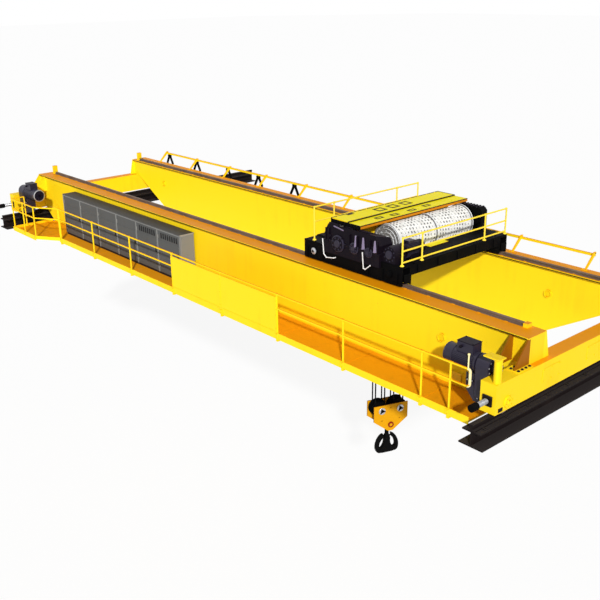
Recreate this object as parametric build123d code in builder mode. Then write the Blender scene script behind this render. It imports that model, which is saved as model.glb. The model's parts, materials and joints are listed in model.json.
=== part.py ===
from build123d import *
import os
from math import cos, radians, sin

os.makedirs("parts", exist_ok=True)

# Double girder overhead travelling crane on its two runway beams.
# X runs along the span, Y along the runways (the walkway side is -Y), Z up.
# The origin is on the underside of the left runway beam, under its rail, midway between the girders.

# Overall
RUNWAY_SPAN = 21110.0
CARRIAGE_LENGTH = 6800.0
GIRDER_FROM_END = 1430.0
GIRDER_SPACING = CARRIAGE_LENGTH - 2 * GIRDER_FROM_END
GIRDER_TOP = 1750.0
RUN_GAP = 0.3
OVERRUN = 50.0
X_MID = RUNWAY_SPAN / 2

# Runway beams and crane rails
RUNWAY_NEAR = 3850.0
RUNWAY_FAR = 7600.0
RUNWAY_DEPTH = 340.0
RUNWAY_BOTTOM_WIDTH = 560.0
RUNWAY_TOP_WIDTH = 420.0
RUNWAY_FLANGE = 30.0
RUNWAY_WEB = 24.0
RUNWAY_BOLT_RADIUS = 15.0
RUNWAY_BOLT_SPACING_X = 440.0
RUNWAY_BOLT_SPACING_Y = 400.0
RAIL_HEIGHT = 130.0
RAIL_HEAD = 100.0
RAIL_HEAD_DEPTH = 45.0
RAIL_NECK = 44.0
RAIL_FOOT = 170.0
RAIL_FOOT_DEPTH = 22.0

# Bridge wheels
WHEEL_RADIUS = 250.0
WHEEL_FLANGE = 25.0
WHEEL_TREAD = 120.0
WHEEL_WIDTH = 170.0
AXLE_RADIUS = 60.0
AXLE_END_GAP = 5.0
RAIL_TOP = RUNWAY_DEPTH + RAIL_HEIGHT
AXLE_Z = RAIL_TOP + RUN_GAP + WHEEL_RADIUS

# End carriages, the right one with a pedestal over its driven wheel
CARRIAGE_WIDTH = 360.0
CARRIAGE_TOP = 1180.0
CARRIAGE_BOTTOM = 560.0
CARRIAGE_PLATE = 20.0
WHEEL_END = 400.0
WHEEL_BASE = CARRIAGE_LENGTH - 2 * WHEEL_END
WHEEL_POCKET_GAP = 20.0
BEARING_CAP_RADIUS = 130.0
BEARING_CAP = 30.0
PEDESTAL_RADIUS = 78.0
PEDESTAL_INSET = 120.0
PEDESTAL_SIDE = 80.0
PEDESTAL_HEIGHT = 500.0
PEDESTAL_PLATE = 25.0
PEDESTAL_PLATE_LENGTH = 215.0

# Girders
GIRDER_OVERHANG = 45.0
GIRDER_LENGTH = RUNWAY_SPAN + 2 * GIRDER_OVERHANG
GIRDER_BOTTOM = 40.0
GIRDER_FLANGE_WIDTH = 607.0
GIRDER_FLANGE = 25.0
GIRDER_BOX_WIDTH = 470.0
GIRDER_WEB = 14.0
GIRDER_SEAT = 310.0
GIRDER_TAPER = 2000.0
GUSSET_PLATE = 30.0
GUSSET_SPACING = 390.0
GUSSET_FLARE = 420.0
GUSSET_INNER_FLARE = 130.0
WEB_BOSS_RADIUS = 100.0
WEB_BOSS_WALL = 18.0
WEB_BOSS_HEIGHT = 40.0
WEB_BOSS_INSET = 2150.0
WEB_BOSS_DROP = 650.0

# Trolley rails on the girders
GAUGE_INSET = 380.0
TROLLEY_GAUGE = GIRDER_SPACING - GAUGE_INSET
TROLLEY_RAIL_HEIGHT = 80.0
TROLLEY_RAIL_HEAD = 60.0
TROLLEY_RAIL_FOOT = 120.0
TROLLEY_RAIL_FOOT_DEPTH = 18.0
TROLLEY_RAIL_INSET = 430.0
TROLLEY_RAIL_LENGTH = GIRDER_LENGTH - 2 * TROLLEY_RAIL_INSET
STOP_LENGTH = 110.0
STOP_WIDTH = 150.0
STOP_HEIGHT_LEFT = 290.0
STOP_HEIGHT_RIGHT = 85.0

# Walkway along the near girder
DECK_TOP = 130.0
DECK_PLATE = 30.0
DECK_WIDTH = 1065.0
DECK_LEFT = 3300.0
DECK_END_GAP = 505.0
DECK_RIGHT = RUNWAY_SPAN - DECK_END_GAP
TOE_EDGE = 12.0
TOE_HEIGHT = 170.0
TOE_DROP = 80.0
JOIST_WIDTH = 60.0
JOIST_DEPTH = 110.0
POST_START = 3355.0
POST_COUNT = 8
END_POST_INSET = 520.0
END_BAY = 735.0
POST_PITCH = (DECK_RIGHT - END_POST_INSET - END_BAY - POST_START) / (POST_COUNT - 1)
BAR_RADIUS = 24.0
BAR_SIDES = 8
HANDRAIL_HEIGHT = 1100.0
MIDRAIL_DROP = 370.0
LOOP_RADIUS = 60.0
PANEL = 12.0
PANEL_START = POST_START + 3 * POST_PITCH
PANEL_LENGTH = 2 * POST_PITCH
PANEL_TOP_GAP = 60.0
LANDING_LEFT = 755.0
LANDING_RIGHT = 2505.0
LANDING_WIDTH = 510.0
TAPER_PLATE = 12.0
TAPER_PLATE_LAP = 80.0

# Electrical cabinets on the walkway
CABINET_LEFT = 2755.0
CABINET_LENGTH = 7130.0
CABINET_DEPTH = 450.0
CABINET_HEIGHT = 1420.0
CABINET_BACK_GAP = 45.0
DOOR_COUNT = 6
DOOR = 25.0
DOOR_GAP = 12.0
DOOR_MARGIN = 45.0
PLINTH_HEIGHT = 80.0
CABINET_LID = 20.0
CABINET_WALL = 15.0

# Bridge travel drives
GEARCASE_WIDTH = 330.0
GEARCASE_LOW_RADIUS = 190.0
GEARCASE_HIGH_RADIUS = 205.0
GEARCASE_CAP_RADIUS = 115.0
GEARCASE_CAP = 110.0
LOW_CASE_LENGTH = 530.0
LOW_CASE_WIDTH = 300.0
LOW_CASE_TAPER = 220.0
MOTOR_Z = 1300.0
MOTOR_RADIUS = 185.0
MOTOR_LENGTH_LEFT = 920.0
MOTOR_LENGTH_RIGHT = 750.0
MOTOR_COWL = 190.0
MOTOR_COWL_STEP = 12.0
MOTOR_FLANGE = 50.0
TERMINAL_LENGTH = 380.0
TERMINAL_WIDTH = 270.0
TERMINAL_HEIGHT = 170.0

# Buffers
BUFFER_Z = 820.0
BUFFER_ROD_RADIUS = 42.0
BUFFER_ROD_LENGTH = 330.0
BUFFER_HEAD_RADIUS = 76.0
BUFFER_HEAD_LENGTH = 170.0
BUFFER_BASE = 200.0
BUFFER_BASE_THICKNESS = 25.0

# Trolley
TROLLEY_FROM_RIGHT = 5155.0
TROLLEY_X = RUNWAY_SPAN - TROLLEY_FROM_RIGHT
TROLLEY_LENGTH = 3250.0
TROLLEY_WHEEL_BASE = 2500.0
TROLLEY_WHEEL_RADIUS = 175.0
TROLLEY_WHEEL_FLANGE = 18.0
TROLLEY_WHEEL_TREAD = 74.0
TROLLEY_WHEEL_WIDTH = 110.0
TROLLEY_AXLE_RADIUS = 45.0
SIDE_WIDTH = 300.0
SIDE_PLATE = 40.0
SIDE_CLEARANCE = 50.0
SIDE_HEIGHT = 440.0
SIDE_CAP_RADIUS = 85.0
SIDE_CAP = 25.0
SHELF_FRONT = 480.0
CROSSBEAM_WIDTH = 250.0
CROSSBEAM_HEIGHT = 240.0
TROLLEY_DECK = 20.0
DECK_STRIP_LEFT = 700.0
DECK_STRIP_RIGHT = 800.0
TROLLEY_TOP = GIRDER_TOP + SIDE_CLEARANCE + SIDE_HEIGHT
TROLLEY_AXLE_Z = GIRDER_TOP + TROLLEY_RAIL_HEIGHT + RUN_GAP + TROLLEY_WHEEL_RADIUS

# Hoist machinery on the trolley
DRUM_OFFSET = 400.0
DRUM_Z = 2430.0
DRUM_RADIUS = 385.0
DRUM_NEAR_INSET = 660.0
DRUM_NEAR = DRUM_NEAR_INSET - TROLLEY_GAUGE / 2
DRUM_FAR_INSET = 180.0
DRUM_FAR = TROLLEY_GAUGE / 2 - DRUM_FAR_INSET
DRUM_FLANGE_RADIUS = 425.0
DRUM_FLANGE = 30.0
DRUM_MIDDLE_RIB = 40.0
DRUM_WALL = 45.0
DRUM_SHAFT_RADIUS = 75.0
DRUM_SHAFT_IN = 110.0
GEARBOX_LEFT = -820.0
GEARBOX_RIGHT = 980.0
GEARBOX_DEPTH = 430.0
GEARBOX_OUT = 210.0
GEARBOX_FRONT = -TROLLEY_GAUGE / 2 - GEARBOX_OUT
GEARBOX_BACK = GEARBOX_FRONT + GEARBOX_DEPTH
GEARBOX_HEIGHT = 580.0
GEARBOX_BACK_DROP = 100.0
GEARBOX_SKIRT = 150.0
GEARBOX_SPLIT = 150.0
GEARBOX_LIP = 25.0
GEARBOX_LIP_HEIGHT = 60.0
GEARBOX_CORNER = 120.0
GEARBOX_CAP = 45.0
GEARBOX_RIB = 30.0
GEARBOX_RIB_DEPTH = 40.0
CAP_SHARES = ((0.26, 0.3), (0.56, 0.19), (0.82, 0.15))
RIB_SHARES = (0.08, 0.48, 0.62, 0.85)
INPUT_SETBACK = 90.0
INPUT_FRONT = GEARBOX_FRONT + INPUT_SETBACK
INPUT_RADIUS = 190.0
BEARING_WIDTH = 230.0
BEARING_LEFT = 250.0
BEARING_RIGHT = 620.0
BEARING_HEIGHT = 600.0
BEARING_CORNER = 70.0
HOIST_MOTOR_OFFSET = 1200.0
HOIST_MOTOR_RADIUS = 165.0
HOIST_MOTOR_LENGTH = 700.0
HOIST_MOTOR_FOOT = 15.0
HOIST_COUPLING_RADIUS = 70.0
COVER_LEFT = -660.0
COVER_SPLIT = -100.0
COVER_RIGHT = 330.0
COVER_TOP = 2960.0
COVER_STEP = 25.0
COVER_SKIRT = 100.0
COVER_SETBACK = 60.0
COVER_NEAR = GEARBOX_FRONT + COVER_SETBACK
COVER_BEAM_GAP = 40.0
COVER_OUT = 170.0
COVER_FAR = TROLLEY_GAUGE / 2 + COVER_OUT
COVER_WALL = 20.0
COVER_BEAM_RIGHT = -80.0
COVER_BEAM_INSET = 80.0
COVER_BEAM_FAR = TROLLEY_GAUGE / 2 - COVER_BEAM_INSET
LEFT_RAIL_HEIGHTS = (830.0, 470.0)
RIGHT_RAIL_HEIGHTS = (645.0, 340.0, 75.0)
LEFT_RAIL_INSET = 325.0
TROLLEY_BAR_RADIUS = 20.0
TROLLEY_POST_SHARES = (0.0, 0.175, 0.78, 1.0)

# Hook block, turned about its own vertical
BLOCK_OFFSET = -300.0
BLOCK_Y = -200.0
BLOCK_TOP = -2370.0
BLOCK_TURN = 70.0
BLOCK_WIDTH = 1000.0
BLOCK_HEIGHT = 785.0
BLOCK_SIDE = 450.0
BLOCK_NOSE = 70.0
BLOCK_PLATE = 30.0
BLOCK_DEPTH = 440.0
SHEAVE_PIN_DROP = 150.0
SHEAVE_SPREAD = 540.0
SHEAVE_PITCH_RADIUS = 135.0
SHEAVE_RIM = 100.0
UPPER_SHEAVE_RIM = 30.0
SHEAVE_WIDTH = 80.0
SHEAVE_SPACING = 180.0
SHEAVE_PIN_RADIUS = 45.0
PIN_HEAD_RADIUS = 95.0
PIN_HEAD = 20.0
ROPE_RADIUS = 18.0
CROSSHEAD_DROP = 600.0
CROSSHEAD_WIDTH = 210.0
CROSSHEAD_HEIGHT = 150.0
CROSSHEAD_PIN_RADIUS = 50.0
HOOK_SHANK_RADIUS = 50.0
HOOK_NUT_RADIUS = 85.0
HOOK_NUT = 60.0
HOOK_HEIGHT = 750.0
HOOK_THICKNESS = 120.0
HORN_SPREAD = 330.0
HORN_WIDTH = 300.0
HORN_HEIGHT = 560.0
HORN_LEAN = 18.0
HORN_EYE_WIDTH = 150.0
HORN_EYE_HEIGHT = 340.0
THROAT_WIDTH = 70.0
LATCH_SHARE = 0.38
LATCH_THICKNESS = 16.0
LATCH_DEPTH = 60.0
UPPER_SHEAVE_Z = 2560.0
UPPER_CHEEK = 20.0
UPPER_CHEEK_WIDTH = 150.0
UPPER_CHEEK_GAP = 15.0
UPPER_PIN_RADIUS = 30.0
EQUALISER_PIN_RADIUS = 28.0
LEAD_SPREAD = 120.0

# Festoon cable track beside the far girder
FESTOON_OUT = 300.0
FESTOON_Z = 2000.0
FESTOON_LEFT = 1120.0
FESTOON_END_GAP = 1460.0
FESTOON_RIGHT = RUNWAY_SPAN - FESTOON_END_GAP
FESTOON_WIDTH = 50.0
FESTOON_HEIGHT = 60.0
FESTOON_BRACKET_COUNT = 10
FESTOON_BRACKET = 40.0
FESTOON_FOOT = 70.0

FRONT_Y = -GIRDER_SPACING / 2
REAR_Y = GIRDER_SPACING / 2


def finish(piece, name):
    """Names one finished piece and writes it."""
    piece.part.label = name
    export_step(piece.part, f"parts/{name}.step")


def bar(start, end, radius=BAR_RADIUS):
    """A straight rail bar of few sides between two points, joined to the part being built."""
    line = Vector(*end) - Vector(*start)
    plane = Plane(origin=start, z_dir=line)
    with BuildSketch(plane) as section:
        RegularPolygon(radius, BAR_SIDES)
    extrude(section.sketch, amount=line.length)


def box_at(x, y, z):
    """A box given by its low and high limits along each axis."""
    size = (x[1] - x[0], y[1] - y[0], z[1] - z[0])
    with Locations(((x[0] + x[1]) / 2, (y[0] + y[1]) / 2, (z[0] + z[1]) / 2)):
        Box(*size)


def rail_profile(height, head, head_depth, neck, foot, foot_depth):
    """The section of a rail, its foot centred on the origin of the sketch."""
    with Locations((0, foot_depth / 2)):
        Rectangle(foot, foot_depth)
    with Locations((0, height / 2)):
        Rectangle(neck, height)
    with Locations((0, height - head_depth / 2)):
        Rectangle(head, head_depth)


# Runway beams, with bolt holes through the bottom flange under the crane's middle
def runway_beam(name, x):
    with BuildPart() as beam:
        with BuildSketch(Plane.XZ.offset(RUNWAY_NEAR)):
            with Locations((x, RUNWAY_FLANGE / 2)):
                Rectangle(RUNWAY_BOTTOM_WIDTH, RUNWAY_FLANGE)
            with Locations((x, RUNWAY_DEPTH / 2)):
                Rectangle(RUNWAY_WEB, RUNWAY_DEPTH)
            with Locations((x, RUNWAY_DEPTH - RUNWAY_FLANGE / 2)):
                Rectangle(RUNWAY_TOP_WIDTH, RUNWAY_FLANGE)
        extrude(amount=-(RUNWAY_NEAR + RUNWAY_FAR))
        with Locations((x, 0, 0)):
            with GridLocations(RUNWAY_BOLT_SPACING_X, RUNWAY_BOLT_SPACING_Y, 2, 2):
                Cylinder(RUNWAY_BOLT_RADIUS, 2 * RUNWAY_FLANGE + OVERRUN, mode=Mode.SUBTRACT)
    finish(beam, name)


runway_beam("runway_beam_left", 0)
runway_beam("runway_beam_right", RUNWAY_SPAN)


def runway_rail(name, x):
    with BuildPart() as rail:
        with BuildSketch(Plane.XZ.offset(RUNWAY_NEAR)):
            with Locations((x, RUNWAY_DEPTH)):
                rail_profile(RAIL_HEIGHT, RAIL_HEAD, RAIL_HEAD_DEPTH, RAIL_NECK, RAIL_FOOT, RAIL_FOOT_DEPTH)
        extrude(amount=-(RUNWAY_NEAR + RUNWAY_FAR))
    finish(rail, name)


runway_rail("runway_rail_left", 0)
runway_rail("runway_rail_right", RUNWAY_SPAN)


# Bridge wheels: a flanged pair on one line of axles, one wheel in each end carriage
def flanged_wheel(plane, radius, flange, tread, width, axle_radius, axle_length):
    """A double-flanged wheel with its axle, turned about the plane's normal."""
    with BuildSketch(plane) as disc:
        Circle(radius)
    extrude(disc.sketch, amount=width / 2, both=True)
    for side in (-1, 1):
        with BuildSketch(plane.offset(side * tread / 2)) as rim:
            Circle(radius + flange)
        extrude(rim.sketch, amount=side * (width - tread) / 2)
    with BuildSketch(plane) as axle:
        Circle(axle_radius)
    extrude(axle.sketch, amount=axle_length / 2, both=True)


def bridge_wheels(name, y):
    with BuildPart() as wheels:
        for x in (0, RUNWAY_SPAN):
            plane = Plane(origin=(x, y, AXLE_Z), x_dir=(0, 1, 0), z_dir=(1, 0, 0))
            flanged_wheel(
                plane,
                WHEEL_RADIUS,
                WHEEL_FLANGE,
                WHEEL_TREAD,
                WHEEL_WIDTH,
                AXLE_RADIUS,
                CARRIAGE_WIDTH - 2 * AXLE_END_GAP,
            )
    finish(wheels, name)


bridge_wheels("bridge_wheels_front", -WHEEL_BASE / 2)
bridge_wheels("bridge_wheels_rear", WHEEL_BASE / 2)


# End carriages: hollow box beams with a wheel pocket near each end
def end_carriage(name, x, pedestal):
    half = CARRIAGE_LENGTH / 2
    pocket = WHEEL_RADIUS + WHEEL_FLANGE + WHEEL_POCKET_GAP
    outward = -1 if x == 0 else 1
    with BuildPart() as carriage:
        box_at(
            (x - CARRIAGE_WIDTH / 2, x + CARRIAGE_WIDTH / 2),
            (-half, half),
            (CARRIAGE_BOTTOM, CARRIAGE_TOP),
        )
        # The inside of the beam between the wheels
        inner = CARRIAGE_WIDTH / 2 - CARRIAGE_PLATE
        reach = WHEEL_BASE / 2 - pocket - WHEEL_POCKET_GAP
        with Locations((x, 0, (CARRIAGE_BOTTOM + CARRIAGE_TOP) / 2)):
            Box(2 * inner, 2 * reach, CARRIAGE_TOP - CARRIAGE_BOTTOM - 2 * CARRIAGE_PLATE, mode=Mode.SUBTRACT)
        for y in (-WHEEL_BASE / 2, WHEEL_BASE / 2):
            # Wheel pocket, open below
            top = AXLE_Z + pocket
            with Locations((x, y, (CARRIAGE_BOTTOM - OVERRUN + top) / 2)):
                Box(
                    WHEEL_WIDTH + 2 * WHEEL_POCKET_GAP,
                    2 * pocket,
                    top - CARRIAGE_BOTTOM + OVERRUN,
                    mode=Mode.SUBTRACT,
                )
            axle_plane = Plane(origin=(x, y, AXLE_Z), x_dir=(0, 1, 0), z_dir=(1, 0, 0))
            with BuildSketch(axle_plane):
                Circle(AXLE_RADIUS + RUN_GAP)
            extrude(amount=CARRIAGE_WIDTH / 2, both=True, mode=Mode.SUBTRACT)
            # Bearing caps, outside on every wheel and inside on the idle ones
            sides = (outward,) if y < 0 else (-1, 1)
            for side in sides:
                with BuildSketch(axle_plane.offset(side * CARRIAGE_WIDTH / 2)):
                    Circle(BEARING_CAP_RADIUS)
                extrude(amount=side * BEARING_CAP)
        # Pedestal at the driven end, a round post with a top plate that reaches over the drive
        if pedestal:
            top = CARRIAGE_TOP + PEDESTAL_HEIGHT
            post_x = x + outward * (CARRIAGE_WIDTH / 2 - PEDESTAL_SIDE)
            with Locations((post_x, PEDESTAL_INSET - half, (CARRIAGE_TOP + top) / 2)):
                Cylinder(PEDESTAL_RADIUS, top - CARRIAGE_TOP)
            box_at(
                (x - CARRIAGE_WIDTH / 2, x + CARRIAGE_WIDTH / 2),
                (PEDESTAL_PLATE - half, PEDESTAL_PLATE - half + PEDESTAL_PLATE_LENGTH),
                (top - PEDESTAL_PLATE, top),
            )
    finish(carriage, name)


end_carriage("end_carriage_left", 0, False)
end_carriage("end_carriage_right", RUNWAY_SPAN, True)


# Girders: welded boxes, tapered up at the ends, seated on the end carriages
def girder(name, y):
    half = GIRDER_LENGTH / 2
    web_top = GIRDER_TOP - GIRDER_FLANGE
    seat = half - GIRDER_SEAT
    foot = seat - GIRDER_TAPER
    outline = [
        (X_MID - half, web_top),
        (X_MID - half, CARRIAGE_TOP),
        (X_MID - seat, CARRIAGE_TOP),
        (X_MID - foot, GIRDER_BOTTOM),
        (X_MID + foot, GIRDER_BOTTOM),
        (X_MID + seat, CARRIAGE_TOP),
        (X_MID + half, CARRIAGE_TOP),
        (X_MID + half, web_top),
    ]
    with BuildPart() as box:
        with BuildSketch(Plane.XZ.offset(-y)):
            with BuildLine():
                Polyline(*outline, close=True)
            make_face()
        extrude(amount=GIRDER_BOX_WIDTH / 2, both=True)
        with BuildSketch(Plane.XZ.offset(-y)):
            with BuildLine():
                Polyline(*outline, close=True)
            make_face()
            offset(amount=-GIRDER_WEB, kind=Kind.INTERSECTION, mode=Mode.REPLACE)
        extrude(amount=GIRDER_BOX_WIDTH / 2 - GIRDER_WEB, both=True, mode=Mode.SUBTRACT)
        with Locations((X_MID, y, GIRDER_TOP - GIRDER_FLANGE / 2)):
            Box(GIRDER_LENGTH, GIRDER_FLANGE_WIDTH, GIRDER_FLANGE)
        for side in (-1, 1):
            # Round sockets on both webs
            for face in (-1, 1):
                boss_plane = Plane(
                    origin=(
                        X_MID + side * (half - WEB_BOSS_INSET),
                        y + face * GIRDER_BOX_WIDTH / 2,
                        GIRDER_TOP - WEB_BOSS_DROP,
                    ),
                    x_dir=(1, 0, 0),
                    z_dir=(0, face, 0),
                )
                with BuildSketch(boss_plane):
                    Circle(WEB_BOSS_RADIUS)
                    Circle(WEB_BOSS_RADIUS - WEB_BOSS_WALL, mode=Mode.SUBTRACT)
                extrude(amount=WEB_BOSS_HEIGHT)
    finish(box, name)


girder("front_girder", FRONT_Y)
girder("rear_girder", REAR_Y)

# Gusset plates that widen from the flange down to the end carriages, two outside and one inside each girder
with BuildPart() as end_gussets:
    web_top = GIRDER_TOP - GIRDER_FLANGE
    for y, outward in ((FRONT_Y, -1), (REAR_Y, 1)):
        for face, inset, flare in (
            (outward, 0, GUSSET_FLARE),
            (outward, GUSSET_SPACING, GUSSET_FLARE),
            (-outward, 0, GUSSET_INNER_FLARE),
        ):
            web = y + face * GIRDER_BOX_WIDTH / 2
            edge = y + face * GIRDER_FLANGE_WIDTH / 2
            for side in (-1, 1):
                with BuildSketch(Plane.YZ.offset(X_MID + side * (GIRDER_LENGTH / 2 - inset))):
                    with BuildLine():
                        Polyline(
                            (web, CARRIAGE_TOP),
                            (edge + face * flare, CARRIAGE_TOP),
                            (edge, web_top),
                            (web, web_top),
                            close=True,
                        )
                    make_face()
                extrude(amount=-side * GUSSET_PLATE)
finish(end_gussets, "end_gussets")


def trolley_rail(name, y):
    with BuildPart() as rail:
        with BuildSketch(Plane.YZ.offset(X_MID - TROLLEY_RAIL_LENGTH / 2)):
            with Locations((y, GIRDER_TOP)):
                rail_profile(
                    TROLLEY_RAIL_HEIGHT,
                    TROLLEY_RAIL_HEAD,
                    TROLLEY_RAIL_HEIGHT / 3,
                    TROLLEY_RAIL_HEAD / 2,
                    TROLLEY_RAIL_FOOT,
                    TROLLEY_RAIL_FOOT_DEPTH,
                )
        extrude(amount=TROLLEY_RAIL_LENGTH)
    finish(rail, name)


trolley_rail("front_trolley_rail", -TROLLEY_GAUGE / 2)
trolley_rail("rear_trolley_rail", TROLLEY_GAUGE / 2)

# End stops past both ends of each trolley rail
with BuildPart() as rail_stops:
    for side in (-1, 1):
        for y in (-TROLLEY_GAUGE / 2, TROLLEY_GAUGE / 2):
            start = X_MID + side * TROLLEY_RAIL_LENGTH / 2
            ends = sorted((start, start + side * STOP_LENGTH))
            height = STOP_HEIGHT_LEFT if side < 0 else STOP_HEIGHT_RIGHT
            box_at(ends, (y - STOP_WIDTH / 2, y + STOP_WIDTH / 2), (GIRDER_TOP, GIRDER_TOP + height))
finish(rail_stops, "rail_stops")

# Walkway deck with its toe edge, on joists from the near girder's outer web
DECK_INNER = FRONT_Y - GIRDER_BOX_WIDTH / 2
DECK_OUTER = DECK_INNER - DECK_WIDTH
LANDING_OUTER = DECK_OUTER - LANDING_WIDTH
POST_Y = DECK_OUTER + TOE_EDGE + BAR_RADIUS
POST_XS = [POST_START + POST_PITCH * i for i in range(POST_COUNT)] + [DECK_RIGHT - END_POST_INSET]
RAIL_END = DECK_RIGHT - 2 * BAR_RADIUS
with BuildPart() as walkway_deck:
    box_at((DECK_LEFT, DECK_RIGHT), (DECK_OUTER, DECK_INNER), (DECK_TOP - DECK_PLATE, DECK_TOP))
    # The slanted part that widens the deck out to the landing
    with BuildSketch(Plane.XY.offset(DECK_TOP - DECK_PLATE)):
        with BuildLine():
            Polyline(
                (LANDING_RIGHT, DECK_INNER),
                (DECK_LEFT, DECK_INNER),
                (DECK_LEFT, DECK_OUTER),
                (LANDING_RIGHT, LANDING_OUTER),
                close=True,
            )
        make_face()
    extrude(amount=DECK_PLATE)
    box_at(
        (DECK_LEFT, DECK_RIGHT),
        (DECK_OUTER, DECK_OUTER + TOE_EDGE),
        (DECK_TOP - TOE_DROP, DECK_TOP - TOE_DROP + TOE_HEIGHT),
    )
    for x in POST_XS:
        box_at(
            (x - JOIST_WIDTH / 2, x + JOIST_WIDTH / 2),
            (DECK_OUTER, DECK_INNER),
            (DECK_TOP - DECK_PLATE - JOIST_DEPTH, DECK_TOP - DECK_PLATE),
        )
finish(walkway_deck, "walkway_deck")

# Plates that close the space between the deck, the tapered ends of the near girder and the end carriages
with BuildPart() as taper_plates:
    carriage_face = (RUNWAY_SPAN - CARRIAGE_WIDTH) / 2
    taper_start = GIRDER_LENGTH / 2 - GIRDER_SEAT - GIRDER_TAPER
    taper_rise = (CARRIAGE_TOP - GIRDER_BOTTOM) / GIRDER_TAPER
    near_end = taper_start + (DECK_TOP - GIRDER_BOTTOM) / taper_rise
    for side, far_end in ((-1, X_MID - LANDING_LEFT), (1, DECK_RIGHT - X_MID)):
        with BuildSketch(Plane.XZ.offset(-DECK_INNER)):
            with BuildLine():
                Polyline(
                    (X_MID + side * near_end, DECK_TOP),
                    (X_MID + side * far_end, DECK_TOP),
                    (X_MID + side * carriage_face, CARRIAGE_BOTTOM),
                    (X_MID + side * carriage_face, CARRIAGE_TOP),
                    (X_MID + side * (taper_start + GIRDER_TAPER - TAPER_PLATE_LAP / taper_rise), CARRIAGE_TOP),
                    (X_MID + side * near_end, DECK_TOP + TAPER_PLATE_LAP),
                    close=True,
                )
            make_face()
        extrude(amount=TAPER_PLATE)
finish(taper_plates, "taper_plates")

# Handrail: posts, top rail and middle rail, closed by a round loop at the right end
RAIL_TOP_Z = DECK_TOP + HANDRAIL_HEIGHT - BAR_RADIUS
MID_Z = RAIL_TOP_Z - MIDRAIL_DROP
with BuildPart() as walkway_handrail:
    for x in POST_XS:
        bar((x, POST_Y, DECK_TOP), (x, POST_Y, RAIL_TOP_Z))
    loop_start = RAIL_END - LOOP_RADIUS
    with BuildLine(Plane.XZ.offset(-POST_Y)) as rail_line:
        top_run = Line((POST_START - BAR_RADIUS, RAIL_TOP_Z), (loop_start, RAIL_TOP_Z))
        top_bend = TangentArc(top_run @ 1, (RAIL_END, RAIL_TOP_Z - LOOP_RADIUS), tangent=(1, 0))
        drop = Line(top_bend @ 1, (RAIL_END, MID_Z + LOOP_RADIUS))
        low_bend = TangentArc(drop @ 1, (loop_start, MID_Z), tangent=(0, -1))
        low_run = Line(low_bend @ 1, (POST_START - BAR_RADIUS, MID_Z))
    with BuildSketch(Plane(origin=(POST_START - BAR_RADIUS, POST_Y, RAIL_TOP_Z), z_dir=(1, 0, 0))):
        RegularPolygon(BAR_RADIUS, BAR_SIDES)
    sweep(path=rail_line.wire())
finish(walkway_handrail, "walkway_handrail")

# Bare panel on the handrail
with BuildPart() as rail_panel:
    box_at(
        (PANEL_START, PANEL_START + PANEL_LENGTH),
        (POST_Y - BAR_RADIUS - PANEL, POST_Y - BAR_RADIUS),
        (DECK_TOP - TOE_DROP + TOE_HEIGHT, RAIL_TOP_Z - PANEL_TOP_GAP),
    )
finish(rail_panel, "rail_panel")

# Wider landing beside the left drive
with BuildPart() as end_landing:
    box_at((LANDING_LEFT, LANDING_RIGHT), (LANDING_OUTER, DECK_INNER), (DECK_TOP - DECK_PLATE, DECK_TOP))
    box_at(
        (LANDING_LEFT, LANDING_RIGHT),
        (LANDING_OUTER, LANDING_OUTER + TOE_EDGE),
        (DECK_TOP - TOE_DROP, DECK_TOP - TOE_DROP + TOE_HEIGHT),
    )
finish(end_landing, "end_landing")

LANDING_POST_Y = LANDING_OUTER + TOE_EDGE + BAR_RADIUS
LANDING_POST_XS = (LANDING_LEFT + BAR_RADIUS, (LANDING_LEFT + LANDING_RIGHT) / 2, LANDING_RIGHT - BAR_RADIUS)
LANDING_POSTS = (
    (LANDING_POST_XS[0], DECK_OUTER - BAR_RADIUS),
    (LANDING_POST_XS[0], LANDING_POST_Y),
    (LANDING_POST_XS[-1], LANDING_POST_Y),
    (POST_START - 3 * BAR_RADIUS, POST_Y),
)
with BuildPart() as landing_handrail:
    for x, y in LANDING_POSTS:
        bar((x, y, DECK_TOP), (x, y, RAIL_TOP_Z))
    bar((LANDING_POST_XS[1], LANDING_POST_Y, DECK_TOP), (LANDING_POST_XS[1], LANDING_POST_Y, RAIL_TOP_Z))
    for z in (RAIL_TOP_Z, MID_Z):
        for start, end in zip(LANDING_POSTS, LANDING_POSTS[1:]):
            bar((*start, z), (*end, z))
finish(landing_handrail, "landing_handrail")

# Electrical cabinets in one row on the deck, with separate doors
CABINET_BACK = DECK_INNER - CABINET_BACK_GAP
CABINET_FRONT = CABINET_BACK - CABINET_DEPTH
CABINET_RIGHT = CABINET_LEFT + CABINET_LENGTH
DOOR_PITCH = CABINET_LENGTH / DOOR_COUNT
with BuildPart() as control_cabinets:
    box_at(
        (CABINET_LEFT, CABINET_RIGHT),
        (CABINET_FRONT, CABINET_BACK),
        (DECK_TOP, DECK_TOP + CABINET_HEIGHT - CABINET_LID),
    )
    box_at(
        (CABINET_LEFT - CABINET_LID, CABINET_RIGHT + CABINET_LID),
        (CABINET_FRONT - DOOR - CABINET_LID, CABINET_BACK),
        (DECK_TOP + CABINET_HEIGHT - CABINET_LID, DECK_TOP + CABINET_HEIGHT),
    )
    # The inside of each bay, open to its door
    bay_low = DECK_TOP + PLINTH_HEIGHT + CABINET_WALL
    bay_high = DECK_TOP + CABINET_HEIGHT - CABINET_LID - DOOR_MARGIN - CABINET_WALL
    for i in range(DOOR_COUNT):
        with Locations(
            (
                CABINET_LEFT + DOOR_PITCH * (i + 0.5),
                CABINET_FRONT + (CABINET_DEPTH - CABINET_WALL) / 2,
                (bay_low + bay_high) / 2,
            )
        ):
            Box(
                DOOR_PITCH - DOOR_GAP - 2 * CABINET_WALL,
                CABINET_DEPTH - CABINET_WALL,
                bay_high - bay_low,
                mode=Mode.SUBTRACT,
            )
finish(control_cabinets, "control_cabinets")

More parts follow.
